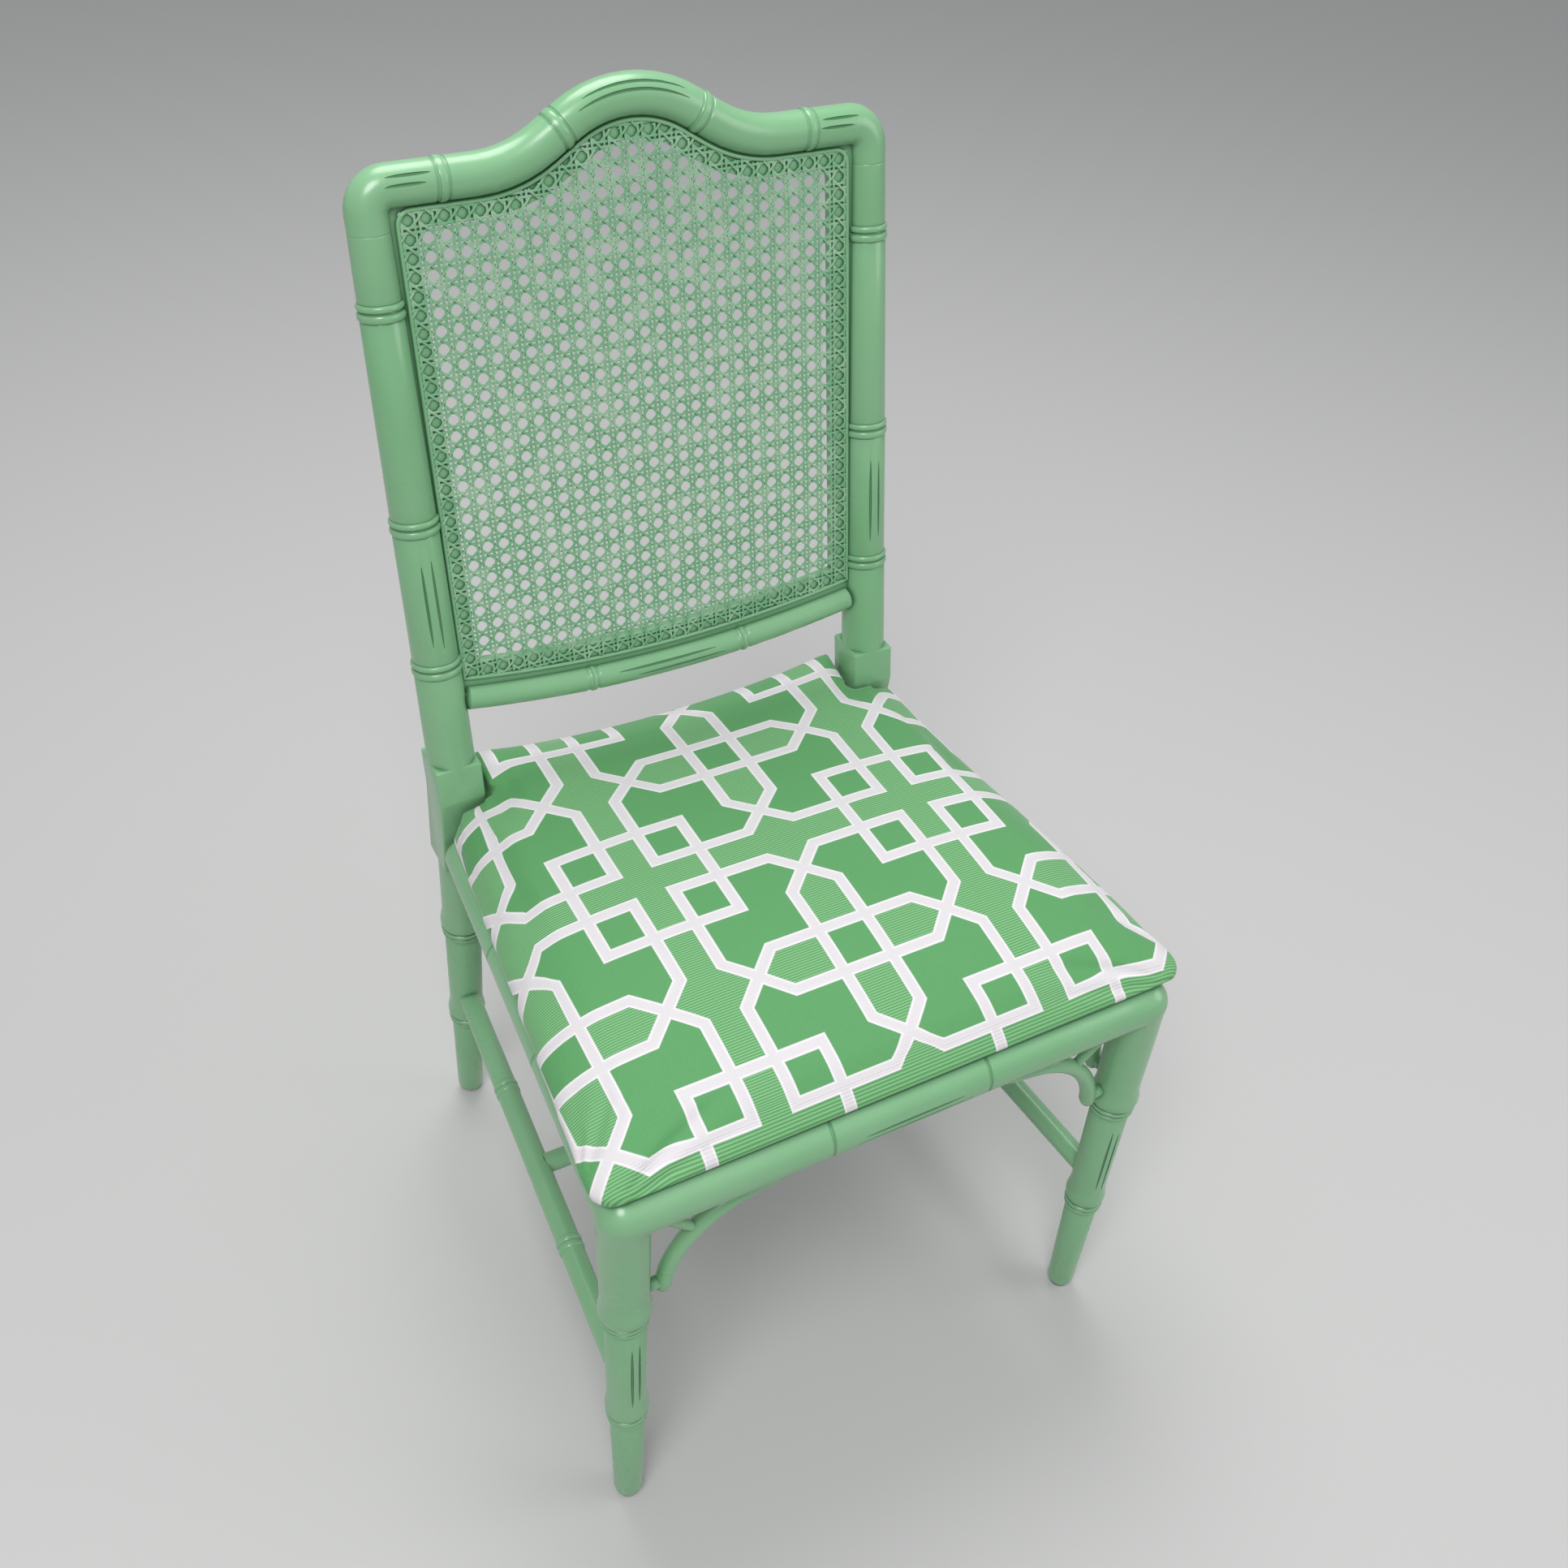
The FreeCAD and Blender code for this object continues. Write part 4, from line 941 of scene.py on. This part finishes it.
class CHAIR_OT_stretchers(ChairOperator, bpy.types.Operator):
    """Slim stretchers between the legs"""
    bl_idname = "chair.stretchers"
    bl_label = "Stretchers"

    def execute(self, context):
        lean = (REAR_FOOT_Y - KINK_Y) / (KINK_HEIGHT - FLOOR_GAP)
        rear = Vector((-REAR_X, KINK_Y + lean * (KINK_HEIGHT - STRETCHER_HEIGHT), STRETCHER_HEIGHT))
        start = Vector((-FRONT_X, FRONT_Y, STRETCHER_HEIGHT))
        along = rear - start
        inset, radius, slim, beside = 0.012, 0.00975, 0.96, 0.0075
        outline = [(inset, radius * slim)]
        for at in (0.128, 0.296):
            outline += [(at - beside, radius)] + twin_beads(at, 0.0032, 0.0028, radius, 0.0009)
            outline += [(at + beside, radius)]
        outline += [(along.length - inset, radius * slim)]
        painted_pair("side_stretcher_", "_round", Bar(start, along, UP, outline).shape(RAIL_STEPS))
        share = CROSS_SETBACK / along.y
        radius, stop = 0.0086, 0.006
        half = FRONT_X - share * (FRONT_X - REAR_X) - stop
        middle = Vector((0, FRONT_Y + CROSS_SETBACK, STRETCHER_HEIGHT))
        outline = [(-half, radius)]
        for at in (-0.085, 0.085):
            outline += twin_beads(at, 0.0030, 0.0026, radius + 0.0001, 0.0008)
        outline += [(half, radius)]
        shape = Bar(middle, RIGHT, UP, outline).shape(RAIL_STEPS)
        painted("cross_stretcher_round", shape, "cross_stretcher")
        return {"FINISHED"}


class CHAIR_OT_brackets(ChairOperator, bpy.types.Operator):
    """Curved brackets and short struts under the rails at the front legs"""
    bl_idname = "chair.brackets"
    bl_label = "Brackets"

    def execute(self, context):
        radius, bend, straight, tail = 0.0065, 0.0813, 0.0262, 0.122
        fall, sweep = math.radians(10.0), 76.0
        top = RAIL_HEIGHT - FRONT_RAIL_RADIUS - radius
        corner = Vector((-FRONT_X, FRONT_Y, 0))
        route = Route(tail, top, math.pi + fall).forward(straight).turn(bend, sweep)
        end = route.length
        outline = [(0.0, radius * 0.72), (0.0008, radius * 0.92), (0.003, radius)]
        outline += [(end - 0.010, radius), (end - 0.002, radius * 1.02)]
        outline += [(end + 0.002, radius * 0.85), (end + 0.0044, radius * 0.45)]
        pearl_height, pearl_off, thin = 0.285, 0.0146, 0.0040
        pearl_outline = [(0.0, 0.0042), (0.004, 0.0048), (0.010, 0.0050), (0.017, 0.0036)]
        struts = []
        for name, along in (("front", RIGHT), ("side", SIDE_ALONG)):
            brace = BentBar(route, corner, along, UP, outline)
            pearl = Bar(corner + along * pearl_off + UP * pearl_height, along, UP, pearl_outline)
            shape = boolean(brace.shape(SLIM_STEPS), pearl.shape(SLIM_STEPS), "UNION")
            painted_pair(name + "_bracket_", "_curved", shape)
            near = corner + along * 0.020 + UP * 0.368
            far = corner + along * 0.055 + UP * 0.332
            reach = (far - near).length
            stick = Bar(near, far - near, UP, [(0.0, thin), (reach, thin)]).shape(SLIM_STEPS)
            struts += [mirrored(stick), stick]
        painted("bracket_struts_round", merged(*struts), "bracket_struts")
        return {"FINISHED"}


# Outline of the cane in the plane of the back: x across, u up along the posts


def panel_top(x, inset):
    """Height of the panel's top edge at x, inset from the crest's line."""
    reach = abs(x)
    inner = HUMP_RADIUS - inset
    outer = VALLEY_RADIUS + inset
    if reach >= CREST_RUN:
        return CREST_SHOULDER - inset
    if reach >= CREST_RUN - outer * math.sin(CREST_TURN):
        return CREST_SHOULDER + VALLEY_RADIUS - math.sqrt(outer ** 2 - (CREST_RUN - reach) ** 2)
    top = CREST_SHOULDER + CREST_RISE - HUMP_RADIUS
    if reach <= inner * math.sin(CREST_TURN):
        return top + math.sqrt(inner ** 2 - reach ** 2)
    return top + inner / math.cos(CREST_TURN) - reach * math.tan(CREST_TURN)


def panel_low(x, inset):
    """Height of the panel's bottom edge at x, inset from the lower rail's line."""
    return LOW_MIDDLE + LOW_BOW - math.sqrt((LOW_BOW - inset) ** 2 - x ** 2)


def back_place(x, up, forward):
    """Point of the chair from its place in the plane of the back."""
    return KINK + x * RIGHT + up * BACK_UP + forward * BACK_FACE


def in_cane(x, up):
    inside = abs(x) < CANE_HALF
    return inside and panel_low(x, CANE_LOW) < up < panel_top(x, CANE_TOP)


def panel_loop(inset):
    """Closed line round the cane, inset from its spline, with rounded upper corners."""
    low_count, side_count, top_count = 64, 30, 96
    half = CANE_HALF - inset
    edge = half - CANE_CORNER
    points = []
    for i in range(low_count + 1):
        x = -half + 2 * half * i / low_count
        points.append((x, panel_low(x, CANE_LOW + inset)))
    start = points[-1][1]
    level = panel_top(half, CANE_TOP + inset) - CANE_CORNER
    rise = level - start
    points += [(half, start + rise * i / side_count) for i in range(1, side_count + 1)]
    turns = [math.radians(a) for a in range(15, 91, 15)]
    corner = [(CANE_CORNER * math.cos(a), CANE_CORNER * math.sin(a)) for a in turns]
    points += [(edge + out, level + up) for out, up in corner]
    for i in range(1, top_count + 1):
        x = edge - 2 * edge * i / top_count
        points.append((x, panel_top(x, CANE_TOP + inset)))
    points += [(-edge - up, level + out) for out, up in corner]
    points += [(-half, level - rise * i / side_count) for i in range(1, side_count)]
    return points


class CHAIR_OT_panel_frame(ChairOperator, bpy.types.Operator):
    """Flat frame behind the edge of the cane"""
    bl_idname = "chair.panel_frame"
    bl_label = "Panel frame"

    def execute(self, context):
        hidden = 0.0115
        bm = bmesh.new()
        rims = []
        for inset in (-hidden, LAND_WIDTH):
            verts = [bm.verts.new(back_place(x, up, LAND_FORWARD)) for x, up in panel_loop(inset)]
            rims += [bm.edges.new((verts[i - 1], verts[i])) for i in range(len(verts))]
        bmesh.ops.bridge_loops(bm, edges=rims)
        made = bmesh.ops.extrude_face_region(bm, geom=bm.faces[:], use_keep_orig=True)["geom"]
        fresh = of_kind(made, bmesh.types.BMVert)
        bmesh.ops.translate(bm, vec=BACK_FACE * -LAND_THICK, verts=fresh)
        bmesh.ops.recalc_face_normals(bm, faces=bm.faces)
        nodes = ["panel_stile_left", "panel_stile_right", "panel_top_rail", "panel_bottom_rail"]
        painted("panel_frame_flat", bm, *nodes)
        return {"FINISHED"}


class CHAIR_OT_cane(ChairOperator, bpy.types.Operator):
    """Six-way cane: paired uprights and courses with diagonals both ways"""
    bl_idname = "chair.cane"
    bl_label = "Cane panel"

    def execute(self, context):
        sizes = self.sizes
        pitch = sizes.cane_pitch
        pair = pitch * 0.128
        lift = sizes.cane_thick * 0.5
        first_up = panel_low(0, CANE_LOW) + pitch * 0.30
        columns = int(CANE_HALF / pitch) + 2
        tallest, over, steps = 0.46, 1.7, 4
        rows = int(tallest / pitch) + 2

        def upright(x, phase):
            def at(travel):
                wave = math.cos(math.tau * travel / pitch + phase)
                return x, first_up + travel, lift * wave
            return at

        def course(up, phase):
            def at(travel):
                wave = math.cos(math.tau * travel / pitch + phase)
                return travel, up, lift * wave
            return at

        def diagonal(offset, slope):
            def at(travel):
                up = first_up + offset + slope * travel
                wave = math.cos(math.tau * travel / pitch)
                return travel, up, -slope * over * lift * wave
            return at

        uprights = []
        for column in range(-columns, columns):
            for shift, phase in ((-pair, 0.0), (pair, math.pi)):
                uprights.append(upright((column + 0.5) * pitch + shift, phase))
        courses = []
        for row in range(-1, rows):
            for shift, phase in ((-pair, math.pi), (pair, 0.0)):
                courses.append(course(first_up + (row + 0.5) * pitch + shift, phase))
        slants = []
        for step in range(-columns - 1, rows + columns + 1):
            for slope in (1, -1):
                slants.append(diagonal((step + 0.5) * pitch, slope))
        travels = [i * pitch / steps for i in range(-columns * steps, (rows + columns) * steps)]
        for name, lines in (("uprights", uprights), ("courses", courses), ("diagonals", slants)):
            strands = []
            for line in lines:
                inside = [t for t in travels if in_cane(*line(t)[:2])]
                if len(inside) > 2:
                    strands.append(self.strand(line, inside))
            piece("cane_" + name, merged(*strands), material("cane"), "painted_cane", "cane_panel")
        return {"FINISHED"}

    def strand(self, line, travels):
        """Flat strand along its line, with a low crown across it."""
        sizes = self.sizes
        spots = [line(t) for t in travels]
        across = Vector((spots[-1][1] - spots[0][1], spots[0][0] - spots[-1][0])).normalized()
        side = across.x * RIGHT + across.y * BACK_UP
        forward = LAND_FORWARD + 0.0011
        section = Matrix.Diagonal((sizes.cane_width / 2, sizes.cane_thick / 2, 1, 1))
        corners = 6
        frames = []
        for x, up, high in spots:
            spot = back_place(x, up, forward + high)
            frames.append(axes(side, BACK_FACE, side.cross(BACK_FACE), spot) @ section)
        return sleeve(frames, corners)


class CHAIR_OT_spline(ChairOperator, bpy.types.Operator):
    """Reed spline that holds the cane in its groove"""
    bl_idname = "chair.spline"
    bl_label = "Cane spline"

    def execute(self, context):
        section = Matrix.Diagonal((0.0017, 0.0016, 1, 1))
        corners, ahead = 10, LAND_FORWARD + 0.0009
        loop = panel_loop(0.0)
        frames = []
        for index, (x, up) in enumerate(loop):
            before = loop[index - 1]
            after = loop[(index + 1) % len(loop)]
            heading = Vector((after[0] - before[0], after[1] - before[1])).normalized()
            along = heading.x * RIGHT + heading.y * BACK_UP
            spot = back_place(x, up, ahead)
            frames.append(axes(BACK_FACE.cross(along), BACK_FACE, along, spot) @ section)
        painted("cane_spline_reed", sleeve(frames, corners, cyclic=True), "cane_spline")
        return {"FINISHED"}


class CHAIR_OT_cushion(ChairOperator, bpy.types.Operator):
    """Upholstered seat blown up from its blank by a cloth simulation"""
    bl_idname = "chair.cushion"
    bl_label = "Seat cushion"

    MIDDLE = FRONT_Y + 0.195
    REACH = 0.199
    HALF_WIDE = 0.2185
    HEART = FRONT_Y + 0.225
    REAR = FRONT_Y + 0.414
    ASIDE = 0.005
    TUCK = -0.005
    EASE = 1.06
    LEVELS = (
        (-0.001, 0.003), (0.0, 0.009), (-0.002, 0.017), (-0.008, 0.026),
        (-0.018, 0.033), (-0.035, 0.038), (-0.065, 0.042), (-0.110, 0.045))
    SHOULDER = 5

    def execute(self, context):
        shape = self.blank()
        start = loose_object(shape, "cushion_blank")
        remesh = start.modifiers.new("cells", "REMESH")
        remesh.mode = "VOXEL"
        remesh.voxel_size = self.sizes.voxel
        cells = baked(start)
        for turn in range(3):
            bmesh.ops.smooth_vert(
                cells, verts=cells.verts, factor=0.5, use_axis_x=True, use_axis_y=True, use_axis_z=True)
        self.domed(cells)
        cells = self.blown(cells)
        self.settle(cells)
        bmesh.ops.subdivide_edges(cells, edges=cells.edges, cuts=1, use_grid_fill=True, smooth=0.6)
        cushion = piece(
            "seat_cushion", cells, material("cloth"), "seat_cloth", "seat_cover", "seat_foam")
        self.map_cloth(cushion.data)
        return {"FINISHED"}

    def outline(self):
        """Corners of the uncut blank in plan, from the right front round to the left front."""
        wide, narrow = 0.2435, 0.1986
        front = FRONT_Y - 0.0090
        far = FRONT_Y + 0.4550
        right = [(self.ASIDE + wide, front), (self.ASIDE + narrow, far)]
        left = [(self.ASIDE - narrow, far), (self.ASIDE - wide, front)]
        return right + left

    def fullness(self, spot):
        """Share of the full height at a spot: less at the front edge, more at the rear legs."""
        front_fall, front_span = 0.50, 0.235
        rear_fall, rear_span = 0.06, 0.185
        corner_rise, corner_span = 0.50, 0.19
        if spot.y < self.HEART:
            return 1 - front_fall * ((self.HEART - spot.y) / front_span) ** 2
        back = ((spot.y - self.HEART) / rear_span) ** 2
        return 1 - back * (rear_fall - corner_rise * (spot.x / corner_span) ** 2)

    def blank(self):
        """Stepped solid of the seat before it is blown up."""
        bm = bmesh.new()
        verts = [bm.verts.new((x, y, SEAT_PLANE)) for x, y in self.outline()]
        bm.faces.new(verts)
        bmesh.ops.bevel(
            bm, geom=[verts[0], verts[-1]], offset=0.019, offset_type="OFFSET", segments=6, profile=0.5,
            affect="VERTICES", material=-1)
        face = bm.faces[:]
        middle = Vector((0, self.MIDDLE, 0))
        before = (self.TUCK, 0.0)
        tuck = 1 + self.TUCK / self.REACH
        bmesh.ops.scale(bm, vec=(tuck, tuck, 1), space=Matrix.Translation(-middle), verts=bm.verts)
        for offset, rise in self.LEVELS:
            made = bmesh.ops.extrude_face_region(bm, geom=face)["geom"]
            fresh = of_kind(made, bmesh.types.BMVert)
            share = (self.REACH + offset) / (self.REACH + before[0])
            bmesh.ops.scale(bm, vec=(share, share, 1), space=Matrix.Translation(-middle), verts=fresh)
            bmesh.ops.translate(bm, vec=(0, 0, rise - before[1]), verts=fresh)
            face = of_kind(made, bmesh.types.BMFace)
            before = (offset, rise)
        return self.notched(sliced(close_up(bm), Vector((0, self.REAR, 0)), -FORWARD))

    def notched(self, bm):
        """Blank with its rear corners cut out round the rear legs."""
        gap = BLOCK_HALF + 0.0035
        size = 0.1
        for sign in SIDES.values():
            tool = bmesh.new()
            bmesh.ops.create_cube(tool, size=size)
            middle = Vector((sign * (REAR_X - gap + size / 2), KINK_Y - gap + size / 2, SEAT_PLANE))
            bmesh.ops.translate(tool, vec=middle, verts=tool.verts)
            bm = boolean(bm, tool, "DIFFERENCE")
        return bm

    def domed(self, cells):
        """Shape the height of the cells from the front to the back."""
        for vert in cells.verts:
            vert.co.z = SEAT_PLANE + (vert.co.z - SEAT_PLANE) * self.fullness(vert.co)

    def blown(self, cells):
        """Blank swollen by air pressure under its cloth, with its underside held."""
        sizes = self.sizes
        home = [vert.co.copy() for vert in cells.verts]
        pad = loose_object(cells, "cushion_cells")
        held = pad.vertex_groups.new(name="held")
        tacked = SEAT_PLANE + 0.004
        held.add([i for i, spot in enumerate(home) if spot.z < tacked], 1.0, "REPLACE")
        cloth = pad.modifiers.new("cloth", "CLOTH")
        cloth.settings.use_pressure = True
        cloth.settings.uniform_pressure_force = 1.2
        cloth.settings.vertex_group_mass = "held"
        cloth.settings.effector_weights.gravity = 0.0
        scene = bpy.context.scene
        for step in range(1, sizes.frames + 1):
            scene.frame_set(step)
        blown = baked(pad)
        scene.frame_set(1)
        for vert, spot in zip(blown.verts, home):
            shift = vert.co - spot
            if shift.length > sizes.swell:
                vert.co = spot + shift * (sizes.swell / shift.length)
        return blown

    def settle(self, cells):
        """Keep the cushion on its board and clear of the rear legs."""
        clear, seated, above = 0.0012, 0.0006, 0.001
        block_x = REAR_X - BLOCK_HALF - clear
        block_y = KINK_Y - BLOCK_HALF - clear
        for vert in cells.verts:
            vert.co.z = max(vert.co.z, SEAT_PLANE + seated)
            over_x = abs(vert.co.x) - block_x
            over_y = vert.co.y - block_y
            if over_x > 0 and over_y > 0 and vert.co.z > SEAT_PLANE + above:
                if over_x < over_y:
                    vert.co.x = math.copysign(block_x, vert.co.x)
                else:
                    vert.co.y = block_y

    def map_cloth(self, mesh):
        """Lay the cloth's pattern over the top and, by the length of the roll, down the sides."""
        motif = Vector((-0.1013, FRONT_Y + 0.2153, 0))
        skew = Matrix.Rotation(math.radians(-0.2), 3, "Z")
        inset = self.LEVELS[self.SHOULDER][0]
        half_x = self.HALF_WIDE + inset
        half_y = self.REACH + inset
        blend = 0.012
        spread = mesh.attributes.new("cloth", "FLOAT_VECTOR", "POINT")
        values = []
        for vert in mesh.vertices:
            flat = Vector((vert.co.x - self.ASIDE, vert.co.y, 0))
            level_x = max(-half_x, min(half_x, flat.x))
            level_y = max(self.MIDDLE - half_y, min(self.MIDDLE + half_y, flat.y))
            level = Vector((level_x, level_y, 0))
            beyond = flat - level
            along = beyond.length + self.dropped(vert.co)
            fall = self.fallen(vert.co)
            soft = min(blend, along / 2)
            length = (along + fall + math.hypot(along - fall, soft)) / 2
            spot = level + beyond.normalized() * length + Vector((self.ASIDE, 0, 0))
            if spot.y > self.HEART:
                spot.y = self.HEART + (spot.y - self.HEART) * self.EASE
            values += (skew @ (spot - motif))[:]
        spread.data.foreach_set("vector", values)

    def dropped(self, spot):
        """Length of cloth from the top of the upright rear face down to a spot on it."""
        tall, roll = 0.032, 0.006
        if spot.y < self.REAR - roll:
            return 0.0
        return max(0.0, tall * self.fullness(spot) - (spot.z - SEAT_PLANE))

    def fallen(self, spot):
        """Length of cloth from the shoulder of the crown down to a spot on the roll."""
        share = self.fullness(spot)
        rise = (spot.z - SEAT_PLANE) / share
        steps = [(0.0, self.TUCK)] + [(high, offset) for offset, high in self.LEVELS[:self.SHOULDER + 1]]
        length = 0.0
        for (high, outer), (low, inner) in zip(steps[::-1], steps[-2::-1]):
            reach = math.hypot(outer - inner, (high - low) * share)
            if rise >= high:
                return length
            if rise > low:
                return length + reach * (high - rise) / (high - low)
            length += reach
        return length


class CHAIR_OT_underside(ChairOperator, bpy.types.Operator):
    """Dust cloth under the seat and finishes of the hidden pieces"""
    bl_idname = "chair.underside"
    bl_label = "Underside"

    def execute(self, context):
        low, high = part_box("dust_cover")
        width = high.x - low.x
        depth = high.y - low.y
        taper, slack, below = 0.11, 0.004, 0.0004
        bm = bmesh.new()
        bmesh.ops.create_grid(bm, x_segments=40, y_segments=36, size=0.5)
        bmesh.ops.scale(bm, vec=(width, depth, 1), verts=bm.verts)
        middle = Vector(((low.x + high.x) / 2, (low.y + high.y) / 2, SEAT_PLANE - below))
        bmesh.ops.translate(bm, vec=middle, verts=bm.verts)
        for vert in bm.verts:
            share_x = 2 * (vert.co.x - low.x) / width - 1
            share_y = 2 * (vert.co.y - low.y) / depth - 1
            vert.co.x *= 1 - taper * (share_y + 1) / 2
            vert.co.z -= slack * (1 - share_x ** 2) * (1 - share_y ** 2)
        cloth = piece("dust_cloth_sheet", bm, material("dust"), "dust_cloth", "dust_cover")
        finishes = {
            "beech": ["rail_tenons", "crest_tenons", "lower_rail_tenons"],
            "plywood": ["seat_board"],
            "paint": ["rear_rail"],
        }
        for side in SIDES:
            finishes["beech"] += ["front_corner_block_" + side, "rear_corner_block_" + side]
        for finish, nodes in finishes.items():
            for node in nodes:
                for slot in frame["nodes"][node].material_slots:
                    slot.material = material(finish)
        return {"FINISHED"}


class CHAIR_OT_screws(ChairOperator, bpy.types.Operator):
    """Screws up through the corner blocks that hold the seat"""
    bl_idname = "chair.screws"
    bl_label = "Seat screws"

    def execute(self, context):
        head, crown, shank, sunk = 0.0042, 0.0026, 0.002, 0.004
        turns = [math.radians(a) for a in (0, 22, 45, 67, 90)]
        outline = [(-sunk, 0.0), (-sunk, shank), (0.0, shank)]
        outline += [(crown * math.sin(a), head * math.cos(a)) for a in turns]
        screws = []
        for end in ("front", "rear"):
            for side in SIDES:
                low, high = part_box(end + "_corner_block_" + side)
                spot = Vector(((low.x + high.x) / 2, (low.y + high.y) / 2, low.z))
                screws.append(Bar(spot, -UP, FORWARD, outline).shape(SLIM_STEPS))
        piece("seat_screws", merged(*screws), material("steel"), "glide_steel")
        return {"FINISHED"}


class CHAIR_OT_glides(ChairOperator, bpy.types.Operator):
    """Domed steel glides under the feet"""
    bl_idname = "chair.glides"
    bl_label = "Glides"

    def execute(self, context):
        outline = [(0.0, 0.0), (0.0, 0.0050), (0.0006, 0.0074), (0.0016, 0.0086)]
        outline += [(FLOOR_GAP, 0.0090), (FLOOR_GAP, 0.0)]
        domes = [Bar(spot, UP, FORWARD, outline).shape(SLIM_STEPS) for spot in FEET.values()]
        piece("foot_glides_domed", merged(*domes), material("steel"), "glide_steel", "foot_glides")
        return {"FINISHED"}


class CHAIR_OT_stage(bpy.types.Operator):
    """Pale floor, soft studio light and the camera"""
    bl_idname = "chair.stage"
    bl_label = "Stage"

    def execute(self, context):
        self.floor()
        self.lights(context.scene)
        self.camera(context.scene)
        context.scene.view_settings.view_transform = "Standard"
        return {"FINISHED"}

    def floor(self):
        bm = bmesh.new()
        bmesh.ops.create_grid(bm, x_segments=1, y_segments=1, size=12.0)
        ground = loose_object(bm, "studio_floor")
        shader = Shader("pale_floor")
        shader.set(Base_Color=(0.50, 0.50, 0.49, 1.0), Roughness=0.85)
        ground.data.materials.append(shader.material)

    def lights(self, scene):
        world = bpy.data.worlds.new("studio_world")
        world.use_nodes = True
        backdrop = world.node_tree.nodes["Background"]
        backdrop.inputs["Color"].default_value = (0.95, 0.97, 1.0, 1.0)
        backdrop.inputs["Strength"].default_value = 0.45
        scene.world = world
        target = Vector((0, 0, 0.45))
        lamps = (
            ("key_light", Vector((-1.2, -1.5, 3.1)), 1.6, 66.0),
            ("fill_light", Vector((2.2, -1.5, 1.7)), 1.8, 17.0),
            ("top_light", Vector((0.2, 0.9, 2.9)), 1.6, 38.0),
        )
        for name, spot, size, power in lamps:
            lamp = bpy.data.lights.new(name, "AREA")
            lamp.shape = "DISK"
            lamp.size = size
            lamp.energy = power
            holder = bpy.data.objects.new(name, lamp)
            holder.location = spot
            holder.rotation_euler = (target - spot).to_track_quat("-Z", "Y").to_euler()
            scene.collection.objects.link(holder)

    def camera(self, scene):
        """Camera at the photograph's place and angles."""
        yaw, pitch, roll = (math.radians(a) for a in (30.9106, -40.8803, -4.0536))
        reach = math.cos(pitch)
        ahead = Vector((math.sin(yaw) * reach, math.cos(yaw) * reach, math.sin(pitch)))
        level = ahead.cross(UP).normalized()
        down = ahead.cross(level)
        across = math.cos(roll) * level + math.sin(roll) * down
        below = math.cos(roll) * down - math.sin(roll) * level
        eye = Vector((-0.45611, FRONT_Y - 0.56954, 1.29628))
        lens = bpy.data.cameras.new("camera")
        lens.lens = 37.035
        lens.sensor_width = 36.0
        holder = bpy.data.objects.new("camera", lens)
        holder.matrix_world = axes(across, -below, -ahead, eye)
        scene.collection.objects.link(holder)
        scene.camera = holder


PIECES = (
    CHAIR_OT_front_legs, CHAIR_OT_rear_legs, CHAIR_OT_crest, CHAIR_OT_lower_rail, CHAIR_OT_seat_rails,
    CHAIR_OT_stretchers, CHAIR_OT_brackets, CHAIR_OT_panel_frame, CHAIR_OT_cane, CHAIR_OT_spline,
    CHAIR_OT_cushion, CHAIR_OT_underside, CHAIR_OT_screws, CHAIR_OT_glides, CHAIR_OT_stage,
)


class CHAIR_PT_panel(bpy.types.Panel):
    """Sidebar panel that lists the chair's pieces"""
    bl_idname = "CHAIR_PT_panel"
    bl_label = "Faux bamboo chair"
    bl_space_type = "VIEW_3D"
    bl_region_type = "UI"
    bl_category = "Chair"

    def draw(self, context):
        for group in (context.scene.chair_sizes, context.scene.chair_finish):
            column = self.layout.column(align=True)
            for word in group.bl_rna.properties.keys():
                if word not in ("rna_type", "name"):
                    column.prop(group, word)
        for operator in PIECES:
            self.layout.operator(operator.bl_idname)


CLASSES = (ChairSizes, ChairFinish) + PIECES + (CHAIR_PT_panel,)


def register():
    for item in CLASSES:
        bpy.utils.register_class(item)
    bpy.types.Scene.chair_sizes = PointerProperty(type=ChairSizes)
    bpy.types.Scene.chair_finish = PointerProperty(type=ChairFinish)


def unregister():
    del bpy.types.Scene.chair_finish
    del bpy.types.Scene.chair_sizes
    for item in reversed(CLASSES):
        bpy.utils.unregister_class(item)


def main():
    register()
    for operator in PIECES:
        getattr(bpy.ops.chair, operator.bl_idname.split(".")[1])()


if __name__ == "__main__":
    main()
